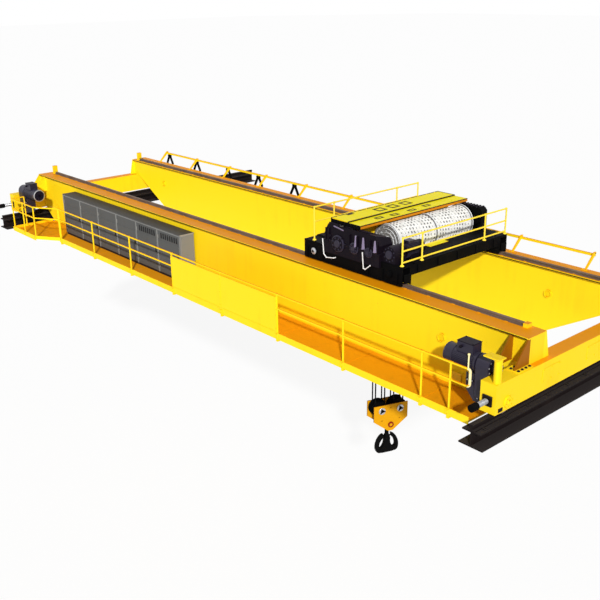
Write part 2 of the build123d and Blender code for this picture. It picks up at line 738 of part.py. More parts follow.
with BuildPart() as cabinet_doors:
    for i in range(DOOR_COUNT):
        left = CABINET_LEFT + DOOR_PITCH * i + DOOR_GAP / 2
        box_at(
            (left, left + DOOR_PITCH - DOOR_GAP),
            (CABINET_FRONT - DOOR, CABINET_FRONT),
            (DECK_TOP + PLINTH_HEIGHT, DECK_TOP + CABINET_HEIGHT - CABINET_LID - DOOR_MARGIN),
        )
finish(cabinet_doors, "cabinet_doors")

# Travel drives: a flat gearcase on the inner cheek of each carriage, its motor pointing inwards
DRIVE_Y = -WHEEL_BASE / 2


def travel_gearbox(name, x, inward):
    face = x + inward * CARRIAGE_WIDTH / 2
    plane = Plane(origin=(face, 0, 0), x_dir=(0, 1, 0), z_dir=(1, 0, 0))
    with BuildPart() as gearcase:
        with BuildSketch(plane):
            with Locations((DRIVE_Y, AXLE_Z)):
                Circle(GEARCASE_LOW_RADIUS)
            with Locations((DRIVE_Y, MOTOR_Z)):
                Circle(GEARCASE_HIGH_RADIUS)
            make_hull()
        extrude(amount=inward * GEARCASE_WIDTH)
        edges = gearcase.faces().sort_by(Axis.X)[0 if inward < 0 else -1].edges()
        chamfer(edges, length=GEARCASE_WIDTH / 8)
        # Lower stage under the motor, tapered towards its foot
        low = AXLE_Z - GEARCASE_LOW_RADIUS
        high = MOTOR_Z - MOTOR_RADIUS - MOTOR_COWL_STEP - AXLE_END_GAP
        with BuildSketch(Plane.XZ.offset(-DRIVE_Y)):
            with BuildLine():
                Polyline(
                    (face, low),
                    (face + inward * GEARCASE_WIDTH, low),
                    (face + inward * LOW_CASE_LENGTH, low + LOW_CASE_TAPER),
                    (face + inward * LOW_CASE_LENGTH, high),
                    (face, high),
                    close=True,
                )
            make_face()
        extrude(amount=LOW_CASE_WIDTH / 2, both=True)
        # Round cap of the upper stage, over the top of the carriage
        with BuildSketch(plane):
            with Locations((DRIVE_Y, MOTOR_Z)):
                Circle(GEARCASE_CAP_RADIUS)
        extrude(amount=-inward * GEARCASE_CAP)
    finish(gearcase, name)


def travel_motor(name, x, inward, length):
    start = x + inward * (CARRIAGE_WIDTH / 2 + GEARCASE_WIDTH)
    plane = Plane(origin=(start, DRIVE_Y, MOTOR_Z), x_dir=(0, 1, 0), z_dir=(1, 0, 0))
    with BuildPart() as motor:
        with BuildSketch(plane):
            Circle(MOTOR_RADIUS + MOTOR_COWL_STEP)
        extrude(amount=inward * MOTOR_FLANGE)
        with BuildSketch(plane.offset(inward * MOTOR_FLANGE)):
            Circle(MOTOR_RADIUS)
        extrude(amount=inward * (length - MOTOR_FLANGE - MOTOR_COWL))
        with BuildSketch(plane.offset(inward * (length - MOTOR_COWL))):
            Circle(MOTOR_RADIUS + MOTOR_COWL_STEP)
        extrude(amount=inward * MOTOR_COWL)
        middle = start + inward * (length - MOTOR_COWL) / 2
        box_at(
            (middle - TERMINAL_LENGTH / 2, middle + TERMINAL_LENGTH / 2),
            (DRIVE_Y - TERMINAL_WIDTH / 2, DRIVE_Y + TERMINAL_WIDTH / 2),
            (MOTOR_Z, MOTOR_Z + MOTOR_RADIUS + TERMINAL_HEIGHT),
        )
    finish(motor, name)


travel_gearbox("travel_gearbox_left", 0, 1)
travel_gearbox("travel_gearbox_right", RUNWAY_SPAN, -1)
travel_motor("travel_motor_left", 0, 1, MOTOR_LENGTH_LEFT)
travel_motor("travel_motor_right", RUNWAY_SPAN, -1, MOTOR_LENGTH_RIGHT)


# Buffers on the ends of both carriages: a rod on a base plate, with a rubber head
def buffers(name, x):
    with BuildPart() as pair:
        for side in (-1, 1):
            root = side * CARRIAGE_LENGTH / 2
            plane = Plane(origin=(x, root, BUFFER_Z), x_dir=(1, 0, 0), z_dir=(0, 1, 0))
            with BuildSketch(plane):
                Rectangle(BUFFER_BASE, BUFFER_BASE)
            extrude(amount=side * BUFFER_BASE_THICKNESS)
            with BuildSketch(plane):
                Circle(BUFFER_ROD_RADIUS)
            extrude(amount=side * BUFFER_ROD_LENGTH)
    finish(pair, name)


buffers("buffers_left", 0)
buffers("buffers_right", RUNWAY_SPAN)

with BuildPart() as buffer_heads:
    for x in (0, RUNWAY_SPAN):
        for side in (-1, 1):
            root = side * (CARRIAGE_LENGTH / 2 + BUFFER_ROD_LENGTH)
            with BuildSketch(Plane(origin=(x, root, BUFFER_Z), x_dir=(1, 0, 0), z_dir=(0, 1, 0))):
                Circle(BUFFER_HEAD_RADIUS)
            extrude(amount=side * BUFFER_HEAD_LENGTH)
finish(buffer_heads, "buffer_heads")

# Trolley side frames: an inverted channel over each rail, holding two wheels
TROLLEY_LEFT = TROLLEY_X - TROLLEY_LENGTH / 2
TROLLEY_RIGHT = TROLLEY_X + TROLLEY_LENGTH / 2
SIDE_INNER = TROLLEY_GAUGE / 2 - SIDE_WIDTH / 2
TROLLEY_WHEEL_XS = (TROLLEY_X - TROLLEY_WHEEL_BASE / 2, TROLLEY_X + TROLLEY_WHEEL_BASE / 2)


def trolley_side(name, y, inward, shelf):
    bottom = GIRDER_TOP + SIDE_CLEARANCE
    with BuildPart() as side:
        box_at((TROLLEY_LEFT, TROLLEY_RIGHT), (y - SIDE_WIDTH / 2, y + SIDE_WIDTH / 2), (bottom, TROLLEY_TOP))
        with Locations((TROLLEY_X, y, TROLLEY_TOP - SIDE_PLATE - SIDE_HEIGHT / 2 - OVERRUN / 2)):
            Box(
                TROLLEY_LENGTH + OVERRUN,
                SIDE_WIDTH - 2 * SIDE_PLATE,
                SIDE_HEIGHT + OVERRUN,
                mode=Mode.SUBTRACT,
            )
        if shelf:
            ends = sorted((y + inward * SIDE_WIDTH / 2, y + inward * (SIDE_WIDTH / 2 + shelf)))
            box_at(
                (TROLLEY_LEFT + CROSSBEAM_WIDTH, TROLLEY_RIGHT - CROSSBEAM_WIDTH),
                ends,
                (TROLLEY_TOP - SIDE_PLATE, TROLLEY_TOP),
            )
        for x in TROLLEY_WHEEL_XS:
            plane = Plane(origin=(x, y, TROLLEY_AXLE_Z), x_dir=(1, 0, 0), z_dir=(0, 1, 0))
            with BuildSketch(plane):
                Circle(TROLLEY_AXLE_RADIUS + RUN_GAP)
            extrude(amount=SIDE_WIDTH / 2, both=True, mode=Mode.SUBTRACT)
            with BuildSketch(plane.offset(-inward * SIDE_WIDTH / 2)):
                Circle(SIDE_CAP_RADIUS)
            extrude(amount=-inward * SIDE_CAP)
    finish(side, name)


trolley_side("trolley_side_front", -TROLLEY_GAUGE / 2, 1, SHELF_FRONT)
trolley_side("trolley_side_rear", TROLLEY_GAUGE / 2, -1, 0)


def trolley_wheels(name, x):
    with BuildPart() as wheels:
        for y in (-TROLLEY_GAUGE / 2, TROLLEY_GAUGE / 2):
            plane = Plane(origin=(x, y, TROLLEY_AXLE_Z), x_dir=(1, 0, 0), z_dir=(0, 1, 0))
            flanged_wheel(
                plane,
                TROLLEY_WHEEL_RADIUS,
                TROLLEY_WHEEL_FLANGE,
                TROLLEY_WHEEL_TREAD,
                TROLLEY_WHEEL_WIDTH,
                TROLLEY_AXLE_RADIUS,
                SIDE_WIDTH - 2 * AXLE_END_GAP,
            )
    finish(wheels, name)


trolley_wheels("trolley_wheels_left", TROLLEY_WHEEL_XS[0])
trolley_wheels("trolley_wheels_right", TROLLEY_WHEEL_XS[1])

# Cross beams between the side frames
with BuildPart() as trolley_crossbeams:
    for ends in (
        (TROLLEY_LEFT, TROLLEY_LEFT + CROSSBEAM_WIDTH),
        (TROLLEY_RIGHT - CROSSBEAM_WIDTH, TROLLEY_RIGHT),
    ):
        box_at(ends, (-SIDE_INNER, SIDE_INNER), (TROLLEY_TOP - CROSSBEAM_HEIGHT, TROLLEY_TOP))
finish(trolley_crossbeams, "trolley_crossbeams")

# Deck plates left and right of the rope well
with BuildPart() as trolley_deck:
    half_width = TROLLEY_GAUGE / 2 + SIDE_WIDTH / 2
    for ends in (
        (TROLLEY_LEFT, TROLLEY_LEFT + DECK_STRIP_LEFT),
        (TROLLEY_RIGHT - DECK_STRIP_RIGHT, TROLLEY_RIGHT),
    ):
        front = GEARBOX_BACK + OVERRUN
        box_at(ends, (front, half_width), (TROLLEY_TOP, TROLLEY_TOP + TROLLEY_DECK))
finish(trolley_deck, "trolley_deck")

# Rope drum with two windings, on a shaft between gearbox and bearing
DRUM_X = TROLLEY_X + DRUM_OFFSET
DRUM_PLANE = Plane(origin=(DRUM_X, 0, DRUM_Z), x_dir=(1, 0, 0), z_dir=(0, 1, 0))
DRUM_MIDDLE = (DRUM_NEAR + DRUM_FAR) / 2
with BuildPart() as hoist_drum:
    with BuildSketch(DRUM_PLANE.offset(DRUM_NEAR)):
        Circle(DRUM_RADIUS)
    extrude(amount=DRUM_FAR - DRUM_NEAR)
    for start in (DRUM_NEAR, DRUM_MIDDLE - DRUM_MIDDLE_RIB / 2, DRUM_FAR - DRUM_FLANGE):
        with BuildSketch(DRUM_PLANE.offset(start)):
            Circle(DRUM_FLANGE_RADIUS)
        extrude(amount=DRUM_FLANGE)
    # The hollow inside of the barrel, and the shaft through it
    with BuildSketch(DRUM_PLANE.offset(DRUM_NEAR + DRUM_WALL)):
        Circle(DRUM_RADIUS - DRUM_WALL)
        Circle(DRUM_SHAFT_RADIUS, mode=Mode.SUBTRACT)
    extrude(amount=DRUM_FAR - DRUM_NEAR - 2 * DRUM_WALL, mode=Mode.SUBTRACT)
    for start, length in (
        (GEARBOX_BACK - DRUM_SHAFT_IN, DRUM_NEAR - GEARBOX_BACK + DRUM_SHAFT_IN),
        (DRUM_FAR, OVERRUN + DRUM_SHAFT_IN),
    ):
        with BuildSketch(DRUM_PLANE.offset(start)):
            Circle(DRUM_SHAFT_RADIUS)
        extrude(amount=length)
finish(hoist_drum, "hoist_drum")

# Hoist gearbox: a cast case over the side frame, with a split flange, bearing caps, ribs and an input stage
GEARBOX_XS = (TROLLEY_X + GEARBOX_LEFT, TROLLEY_X + GEARBOX_RIGHT)
GEARBOX_LENGTH = GEARBOX_XS[1] - GEARBOX_XS[0]
GEARBOX_TOP = TROLLEY_TOP + GEARBOX_HEIGHT
SPLIT_Z = TROLLEY_TOP + GEARBOX_SPLIT
HOIST_MOTOR_X = TROLLEY_X + HOIST_MOTOR_OFFSET
HOIST_MOTOR_Z = TROLLEY_TOP + TROLLEY_DECK + HOIST_MOTOR_FOOT + HOIST_MOTOR_RADIUS
FRAME_FRONT = -TROLLEY_GAUGE / 2 - SIDE_WIDTH / 2
with BuildPart() as hoist_gearbox:
    with BuildSketch(Plane.YZ.offset(GEARBOX_XS[0])):
        with BuildLine():
            Polyline(
                (GEARBOX_FRONT, TROLLEY_TOP - GEARBOX_SKIRT),
                (FRAME_FRONT, TROLLEY_TOP - GEARBOX_SKIRT),
                (FRAME_FRONT, TROLLEY_TOP),
                (GEARBOX_BACK, TROLLEY_TOP),
                (GEARBOX_BACK, GEARBOX_TOP - GEARBOX_BACK_DROP),
                (GEARBOX_FRONT, GEARBOX_TOP),
                close=True,
            )
        make_face()
    extrude(amount=GEARBOX_LENGTH)
    # Sloped ends of the upper half
    for x, inward in ((GEARBOX_XS[0], 1), (GEARBOX_XS[1], -1)):
        with BuildSketch(Plane.XZ.offset(-GEARBOX_FRONT)):
            with BuildLine():
                Polyline(
                    (x, GEARBOX_TOP - GEARBOX_CORNER - GEARBOX_BACK_DROP),
                    (x, GEARBOX_TOP + GEARBOX_CORNER),
                    (x + inward * GEARBOX_CORNER, GEARBOX_TOP + GEARBOX_CORNER),
                    (x + inward * GEARBOX_CORNER, GEARBOX_TOP),
                    close=True,
                )
            make_face()
        extrude(amount=-(GEARBOX_BACK - GEARBOX_FRONT), mode=Mode.SUBTRACT)
    box_at(
        (GEARBOX_XS[0] - GEARBOX_LIP, GEARBOX_XS[1] + GEARBOX_LIP),
        (GEARBOX_FRONT - GEARBOX_LIP, GEARBOX_BACK),
        (SPLIT_Z - GEARBOX_LIP_HEIGHT / 2, SPLIT_Z + GEARBOX_LIP_HEIGHT / 2),
    )
    front = Plane(origin=(GEARBOX_XS[0], GEARBOX_FRONT, SPLIT_Z), x_dir=(1, 0, 0), z_dir=(0, -1, 0))
    for place_share, radius_share in CAP_SHARES:
        with BuildSketch(front):
            with Locations((place_share * GEARBOX_LENGTH, 0)):
                Circle(radius_share * GEARBOX_HEIGHT)
        extrude(amount=GEARBOX_CAP)
    for place_share in RIB_SHARES:
        x = GEARBOX_XS[0] + place_share * GEARBOX_LENGTH
        box_at(
            (x - GEARBOX_RIB / 2, x + GEARBOX_RIB / 2),
            (GEARBOX_FRONT - GEARBOX_RIB_DEPTH, GEARBOX_FRONT),
            (SPLIT_Z, GEARBOX_TOP - GEARBOX_CORNER),
        )
    with BuildSketch(Plane.XZ.offset(-INPUT_FRONT)):
        with Locations((HOIST_MOTOR_X, HOIST_MOTOR_Z)):
            Circle(INPUT_RADIUS)
        with Locations(((GEARBOX_XS[1] + HOIST_MOTOR_X + INPUT_RADIUS) / 2, (TROLLEY_TOP + HOIST_MOTOR_Z) / 2)):
            Rectangle(HOIST_MOTOR_X + INPUT_RADIUS - GEARBOX_XS[1], HOIST_MOTOR_Z - TROLLEY_TOP)
    extrude(amount=-(GEARBOX_BACK - INPUT_FRONT))
    with BuildSketch(DRUM_PLANE.offset(GEARBOX_BACK)):
        Circle(DRUM_SHAFT_RADIUS + RUN_GAP)
    extrude(amount=-(DRUM_SHAFT_IN + AXLE_END_GAP), mode=Mode.SUBTRACT)
finish(hoist_gearbox, "hoist_gearbox")

# Bearing pedestal at the far end of the drum, its right half over the deck plate
with BuildPart() as drum_bearing:
    start = DRUM_FAR + OVERRUN
    deck_edge = TROLLEY_RIGHT - DECK_STRIP_RIGHT
    top = TROLLEY_TOP + BEARING_HEIGHT
    with BuildSketch(Plane.XZ.offset(-start)):
        with BuildLine():
            Polyline(
                (DRUM_X - BEARING_LEFT, TROLLEY_TOP),
                (deck_edge, TROLLEY_TOP),
                (deck_edge, TROLLEY_TOP + TROLLEY_DECK),
                (DRUM_X + BEARING_RIGHT, TROLLEY_TOP + TROLLEY_DECK),
                (DRUM_X + BEARING_RIGHT, top - BEARING_CORNER),
                (DRUM_X + BEARING_RIGHT - BEARING_CORNER, top),
                (DRUM_X - BEARING_LEFT + BEARING_CORNER, top),
                (DRUM_X - BEARING_LEFT, top - BEARING_CORNER),
                close=True,
            )
        make_face()
    extrude(amount=-BEARING_WIDTH)
    with BuildSketch(DRUM_PLANE.offset(start)):
        Circle(DRUM_SHAFT_RADIUS + RUN_GAP)
    extrude(amount=BEARING_WIDTH, mode=Mode.SUBTRACT)
finish(drum_bearing, "drum_bearing")

# Hoist motor on the deck, behind the gearbox's input stage
with BuildPart() as hoist_motor:
    plane = Plane(origin=(HOIST_MOTOR_X, GEARBOX_BACK, HOIST_MOTOR_Z), x_dir=(1, 0, 0), z_dir=(0, 1, 0))
    with BuildSketch(plane):
        Circle(HOIST_COUPLING_RADIUS)
    extrude(amount=HOIST_MOTOR_LENGTH)
    with BuildSketch(plane.offset(HOIST_COUPLING_RADIUS)):
        Circle(HOIST_MOTOR_RADIUS)
    extrude(amount=HOIST_MOTOR_LENGTH - HOIST_COUPLING_RADIUS)
    box_at(
        (HOIST_MOTOR_X - HOIST_MOTOR_RADIUS, HOIST_MOTOR_X + HOIST_MOTOR_RADIUS),
        (
            GEARBOX_BACK + 3 * HOIST_COUPLING_RADIUS,
            GEARBOX_BACK + HOIST_MOTOR_LENGTH - 2 * HOIST_COUPLING_RADIUS,
        ),
        (TROLLEY_TOP + TROLLEY_DECK, HOIST_MOTOR_Z - HOIST_MOTOR_RADIUS / 2),
    )
finish(hoist_motor, "hoist_motor")

# Cover over the gearbox and the upper sheaves: a roof in two strips with a skirt, on a box beam of four walls
COVER_XS = (TROLLEY_X + COVER_LEFT, TROLLEY_X + COVER_SPLIT, TROLLEY_X + COVER_RIGHT)
COVER_BEAM_XS = (COVER_XS[0], TROLLEY_X + COVER_BEAM_RIGHT)
ROOF_UNDERSIDE = COVER_TOP - COVER_STEP - COVER_WALL
with BuildPart() as hoist_cover:
    box_at(
        (COVER_XS[0], COVER_XS[2]),
        (COVER_NEAR, COVER_FAR),
        (COVER_TOP - COVER_SKIRT, COVER_TOP - COVER_STEP),
    )
    box_at((COVER_XS[0], COVER_XS[1]), (COVER_NEAR, COVER_FAR), (COVER_TOP - COVER_STEP, COVER_TOP))
    low = COVER_TOP - COVER_SKIRT - OVERRUN
    with Locations(
        ((COVER_XS[0] + COVER_XS[2]) / 2, (COVER_NEAR + COVER_FAR) / 2, (low + ROOF_UNDERSIDE) / 2)
    ):
        Box(
            COVER_XS[2] - COVER_XS[0] - 2 * COVER_WALL,
            COVER_FAR - COVER_NEAR - 2 * COVER_WALL,
            ROOF_UNDERSIDE - low,
            mode=Mode.SUBTRACT,
        )
finish(hoist_cover, "hoist_cover")

with BuildPart() as cover_beam:
    left = COVER_BEAM_XS[0] + COVER_WALL
    near = GEARBOX_BACK + COVER_BEAM_GAP
    box_at((left, COVER_BEAM_XS[1]), (near, COVER_BEAM_FAR), (TROLLEY_TOP, ROOF_UNDERSIDE))
    with Locations(
        ((left + COVER_BEAM_XS[1]) / 2, (near + COVER_BEAM_FAR) / 2, (TROLLEY_TOP + ROOF_UNDERSIDE) / 2)
    ):
        Box(
            COVER_BEAM_XS[1] - left - 2 * COVER_WALL,
            COVER_BEAM_FAR - near - 2 * COVER_WALL,
            ROOF_UNDERSIDE - TROLLEY_TOP + OVERRUN,
            mode=Mode.SUBTRACT,
        )
finish(cover_beam, "cover_beam")


# Handrails across both ends of the trolley
def trolley_handrail(name, x, heights):
    half_width = TROLLEY_GAUGE / 2 + SIDE_WIDTH / 2 - 2 * TROLLEY_BAR_RADIUS
    foot = TROLLEY_TOP + TROLLEY_DECK
    ys = [half_width * (2 * share - 1) for share in TROLLEY_POST_SHARES]
    with BuildPart() as rails:
        for y in ys:
            base = foot if y > GEARBOX_BACK else TROLLEY_TOP
            bar((x, y, base), (x, y, foot + heights[0]), TROLLEY_BAR_RADIUS)
        for height in heights:
            bar((x, ys[0], foot + height), (x, ys[-1], foot + height), TROLLEY_BAR_RADIUS)
    finish(rails, name)


trolley_handrail("trolley_handrail_left", TROLLEY_LEFT + LEFT_RAIL_INSET, LEFT_RAIL_HEIGHTS)
trolley_handrail("trolley_handrail_right", TROLLEY_RIGHT - 2 * TROLLEY_BAR_RADIUS, RIGHT_RAIL_HEIGHTS)

# Hook block: its plane turns with the block; local x runs along the plates, local y across them
BLOCK_X = TROLLEY_X + BLOCK_OFFSET
BLOCK_ALONG = Vector(cos(radians(BLOCK_TURN)), sin(radians(BLOCK_TURN)), 0)
BLOCK_PLACE = (BLOCK_X, BLOCK_Y, BLOCK_TOP)
BLOCK_FACE = Plane(origin=BLOCK_PLACE, x_dir=BLOCK_ALONG, z_dir=BLOCK_ALONG.cross(Vector(0, 0, 1)))
BLOCK_FLOOR = Plane(origin=BLOCK_PLACE, x_dir=BLOCK_ALONG, z_dir=(0, 0, 1))
SHEAVE_XS = (-SHEAVE_SPREAD / 2, SHEAVE_SPREAD / 2)
PLATE_SIDES = (-1, 1)
with BuildPart() as block_plates:
    half = BLOCK_WIDTH / 2
    for side in PLATE_SIDES:
        with BuildSketch(BLOCK_FACE.offset(side * BLOCK_DEPTH / 2)):
            with BuildLine():
                Polyline(
                    (-half, 0),
                    (half, 0),
                    (half, -BLOCK_SIDE),
                    (BLOCK_NOSE, -BLOCK_HEIGHT),
                    (-BLOCK_NOSE, -BLOCK_HEIGHT),
                    (-half, -BLOCK_SIDE),
                    close=True,
                )
            make_face()
            with Locations((SHEAVE_XS[0], -SHEAVE_PIN_DROP), (SHEAVE_XS[1], -SHEAVE_PIN_DROP)):
                Circle(SHEAVE_PIN_RADIUS + RUN_GAP, mode=Mode.SUBTRACT)
            with Locations((0, -CROSSHEAD_DROP)):
                Circle(CROSSHEAD_PIN_RADIUS + RUN_GAP, mode=Mode.SUBTRACT)
        extrude(amount=-side * BLOCK_PLATE)
finish(block_plates, "block_plates")

# Sheave axles with their heads, through both plates
PIN_REACH = BLOCK_DEPTH / 2 + PIN_HEAD
with BuildPart() as block_pins:
    for x in SHEAVE_XS:
        with BuildSketch(BLOCK_FACE):
            with Locations((x, -SHEAVE_PIN_DROP)):
                Circle(SHEAVE_PIN_RADIUS)
        extrude(amount=PIN_REACH, both=True)
        for side in PLATE_SIDES:
            with BuildSketch(BLOCK_FACE.offset(side * BLOCK_DEPTH / 2)):
                with Locations((x, -SHEAVE_PIN_DROP)):
                    Circle(PIN_HEAD_RADIUS)
            extrude(amount=side * PIN_HEAD)
finish(block_pins, "block_pins")

# Grooved sheaves, two on each axle of the block
def sheave(centre, axis, pitch_radius, rim_depth, pin_radius):
    """A grooved rope sheave, joined to the part being built."""
    groove = pitch_radius - ROPE_RADIUS - RUN_GAP
    rim = pitch_radius + rim_depth
    across = Vector(0, 0, 1).cross(axis)
    with BuildSketch(Plane(origin=centre, x_dir=across, z_dir=(0, 0, 1))) as section:
        with BuildLine():
            Polyline(
                (pin_radius + RUN_GAP, -SHEAVE_WIDTH / 2),
                (rim, -SHEAVE_WIDTH / 2),
                (groove, -ROPE_RADIUS),
                (groove, ROPE_RADIUS),
                (rim, SHEAVE_WIDTH / 2),
                (pin_radius + RUN_GAP, SHEAVE_WIDTH / 2),
                close=True,
            )
        make_face()
    revolve(section.sketch, axis=Axis(centre, axis))


SHEAVE_PS = (-SHEAVE_SPACING / 2, SHEAVE_SPACING / 2)
with BuildPart() as block_sheaves:
    for x in SHEAVE_XS:
        for across in SHEAVE_PS:
            centre = BLOCK_FACE.from_local_coords((x, -SHEAVE_PIN_DROP, across))
            sheave(centre, BLOCK_FACE.z_dir, SHEAVE_PITCH_RADIUS, SHEAVE_RIM, SHEAVE_PIN_RADIUS)
finish(block_sheaves, "block_sheaves")

# Upper sheaves under the cover: two that pass the rope on, and the equaliser where both halves end
UPPER_FACE = Plane(origin=(BLOCK_X, BLOCK_Y, UPPER_SHEAVE_Z), x_dir=BLOCK_ALONG, z_dir=BLOCK_FACE.z_dir)
INNER_FALL = SHEAVE_SPREAD / 2 - SHEAVE_PITCH_RADIUS
OUTER_FALL = SHEAVE_SPREAD / 2 + SHEAVE_PITCH_RADIUS
CHEEK_TOP = ROOF_UNDERSIDE
with BuildPart() as upper_sheaves:
    for across in SHEAVE_PS:
        centre = UPPER_FACE.from_local_coords((0, 0, across))
        sheave(centre, UPPER_FACE.z_dir, INNER_FALL, UPPER_SHEAVE_RIM, UPPER_PIN_RADIUS)
    centre = UPPER_FACE.from_local_coords((-OUTER_FALL, 0, 0))
    sheave(centre, BLOCK_ALONG, SHEAVE_SPACING / 2, UPPER_SHEAVE_RIM, EQUALISER_PIN_RADIUS)
finish(upper_sheaves, "upper_sheaves")

# Cheeks that hang the upper sheaves and the equaliser from the roof of the cover, with their pins
CHEEK_RISE = CHEEK_TOP - UPPER_SHEAVE_Z
CHEEK_REACH = SHEAVE_SPACING / 2 + SHEAVE_WIDTH / 2 + UPPER_CHEEK_GAP
EQUALISER_REACH = SHEAVE_WIDTH / 2 + UPPER_CHEEK_GAP
EQUALISER_FACE = Plane(
    origin=UPPER_FACE.from_local_coords((-OUTER_FALL, 0, 0)), x_dir=BLOCK_FACE.z_dir, z_dir=-BLOCK_ALONG
)
with BuildPart() as sheave_hangers:
    for face, reach, pin_radius in (
        (UPPER_FACE, CHEEK_REACH, UPPER_PIN_RADIUS),
        (EQUALISER_FACE, EQUALISER_REACH, EQUALISER_PIN_RADIUS),
    ):
        with BuildSketch(face):
            Circle(pin_radius)
        extrude(amount=reach, both=True)
        for side in PLATE_SIDES:
            with BuildSketch(face.offset(side * reach)):
                with Locations((0, (CHEEK_RISE - UPPER_CHEEK_WIDTH / 2) / 2)):
                    Rectangle(UPPER_CHEEK_WIDTH, CHEEK_RISE + UPPER_CHEEK_WIDTH / 2)
            extrude(amount=side * UPPER_CHEEK)
finish(sheave_hangers, "sheave_hangers")

# Crosshead that carries the hook, turning on its own two pins in the plates
with BuildPart() as block_crosshead:
    inner_depth = BLOCK_DEPTH - 2 * BLOCK_PLATE
    with BuildSketch(BLOCK_FLOOR.offset(-CROSSHEAD_DROP - CROSSHEAD_HEIGHT / 2)):
        Rectangle(CROSSHEAD_WIDTH, inner_depth - 2 * AXLE_END_GAP)
    extrude(amount=CROSSHEAD_HEIGHT)
    with BuildSketch(BLOCK_FACE):
        with Locations((0, -CROSSHEAD_DROP)):
            Circle(CROSSHEAD_PIN_RADIUS)
    extrude(amount=PIN_REACH, both=True)
    with BuildSketch(BLOCK_FLOOR.offset(-CROSSHEAD_DROP - CROSSHEAD_HEIGHT)):
        Circle(HOOK_SHANK_RADIUS + RUN_GAP)
    extrude(amount=2 * CROSSHEAD_HEIGHT, mode=Mode.SUBTRACT)
finish(block_crosshead, "block_crosshead")

# Ramshorn hook: a shank with two horns that curl up on both sides
HORN_Z = -BLOCK_HEIGHT - HOOK_HEIGHT + HORN_HEIGHT / 2
with BuildPart() as ramshorn_hook:
    nut_z = -CROSSHEAD_DROP + CROSSHEAD_HEIGHT / 2 + RUN_GAP
    with BuildSketch(BLOCK_FLOOR.offset(nut_z)):
        RegularPolygon(HOOK_NUT_RADIUS, 6)
    extrude(amount=HOOK_NUT)
    shank_end = -BLOCK_HEIGHT - HOOK_HEIGHT + HOOK_SHANK_RADIUS
    with BuildSketch(BLOCK_FLOOR.offset(shank_end)):
        Circle(HOOK_SHANK_RADIUS)
    extrude(amount=nut_z - shank_end)
    with BuildSketch(BLOCK_FACE):
        for side in PLATE_SIDES:
            with Locations((side * HORN_SPREAD / 2, HORN_Z)):
                Ellipse(HORN_WIDTH / 2, HORN_HEIGHT / 2, rotation=side * HORN_LEAN)
        with Locations((0, HORN_Z - HORN_HEIGHT / 4)):
            Rectangle(HORN_SPREAD, HORN_HEIGHT / 2)
        for side in PLATE_SIDES:
            with Locations((side * HORN_SPREAD / 2, HORN_Z)):
                Ellipse(HORN_EYE_WIDTH / 2, HORN_EYE_HEIGHT / 2, rotation=side * HORN_LEAN, mode=Mode.SUBTRACT)
                Rectangle(
                    THROAT_WIDTH,
                    HORN_HEIGHT,
                    align=(Align.CENTER, Align.MIN),
                    rotation=side * HORN_LEAN,
                    mode=Mode.SUBTRACT,
                )
    extrude(amount=HOOK_THICKNESS / 2, both=True)
finish(ramshorn_hook, "ramshorn_hook")

# A latch across the throat of each horn
with BuildPart() as hook_latches:
    with BuildSketch(BLOCK_FACE):
        for side in PLATE_SIDES:
            lean = radians(side * HORN_LEAN)
            rise = LATCH_SHARE * HORN_HEIGHT
            with Locations((side * HORN_SPREAD / 2 - rise * sin(lean), HORN_Z + rise * cos(lean))):
                Rectangle(THROAT_WIDTH, LATCH_THICKNESS, rotation=side * HORN_LEAN)
    extrude(amount=LATCH_DEPTH / 2, both=True)
finish(hook_latches, "hook_latches")

# Rope falls: two come off the drum, the others hang from the upper sheaves and the equaliser
DRUM_TANGENT_X = DRUM_X - DRUM_RADIUS - ROPE_RADIUS - RUN_GAP
with BuildPart() as hoist_ropes:
    for along in (-OUTER_FALL, -INNER_FALL, INNER_FALL, OUTER_FALL):
        for across in SHEAVE_PS:
            foot = BLOCK_FACE.from_local_coords((along, -SHEAVE_PIN_DROP, across))
            head = Vector(foot.X, foot.Y, UPPER_SHEAVE_Z)
            if along == OUTER_FALL:
                lead = LEAD_SPREAD / 2 if across > 0 else -LEAD_SPREAD / 2
                head = Vector(DRUM_TANGENT_X, DRUM_MIDDLE + lead, DRUM_Z)
            with BuildSketch(Plane(origin=foot, z_dir=head - foot)):
                Circle(ROPE_RADIUS)
            extrude(amount=(head - foot).length)
finish(hoist_ropes, "hoist_ropes")

# Festoon track, hung from slanted brackets that stand on the far girder's flange
FESTOON_Y = REAR_Y + GIRDER_FLANGE_WIDTH / 2 + FESTOON_OUT
with BuildPart() as festoon_track:
    box_at(
        (FESTOON_LEFT, FESTOON_RIGHT),
        (FESTOON_Y - FESTOON_WIDTH / 2, FESTOON_Y + FESTOON_WIDTH / 2),
        (FESTOON_Z, FESTOON_Z + FESTOON_HEIGHT),
    )
finish(festoon_track, "festoon_track")

with BuildPart() as festoon_brackets:
    edge = REAR_Y + GIRDER_FLANGE_WIDTH / 2
    knee = FESTOON_Z + FESTOON_HEIGHT
    gap = (FESTOON_RIGHT - FESTOON_LEFT - FESTOON_BRACKET) / (FESTOON_BRACKET_COUNT - 1)
    for i in range(FESTOON_BRACKET_COUNT):
        with BuildSketch(Plane.YZ.offset(FESTOON_LEFT + gap * i)):
            with BuildLine():
                Polyline(
                    (edge - FESTOON_FOOT, GIRDER_TOP),
                    (edge, GIRDER_TOP),
                    (FESTOON_Y - FESTOON_WIDTH / 2, FESTOON_Z),
                    (FESTOON_Y - FESTOON_WIDTH / 2, knee),
                    (FESTOON_Y + FESTOON_BRACKET, knee),
                    (FESTOON_Y + FESTOON_BRACKET, knee + FESTOON_BRACKET),
                    (FESTOON_Y - FESTOON_BRACKET, knee + FESTOON_BRACKET),
                    close=True,
                )
            make_face()
        extrude(amount=FESTOON_BRACKET)
finish(festoon_brackets, "festoon_brackets")
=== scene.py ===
import json
import math

import bmesh
import bpy
from mathutils import Matrix, Vector


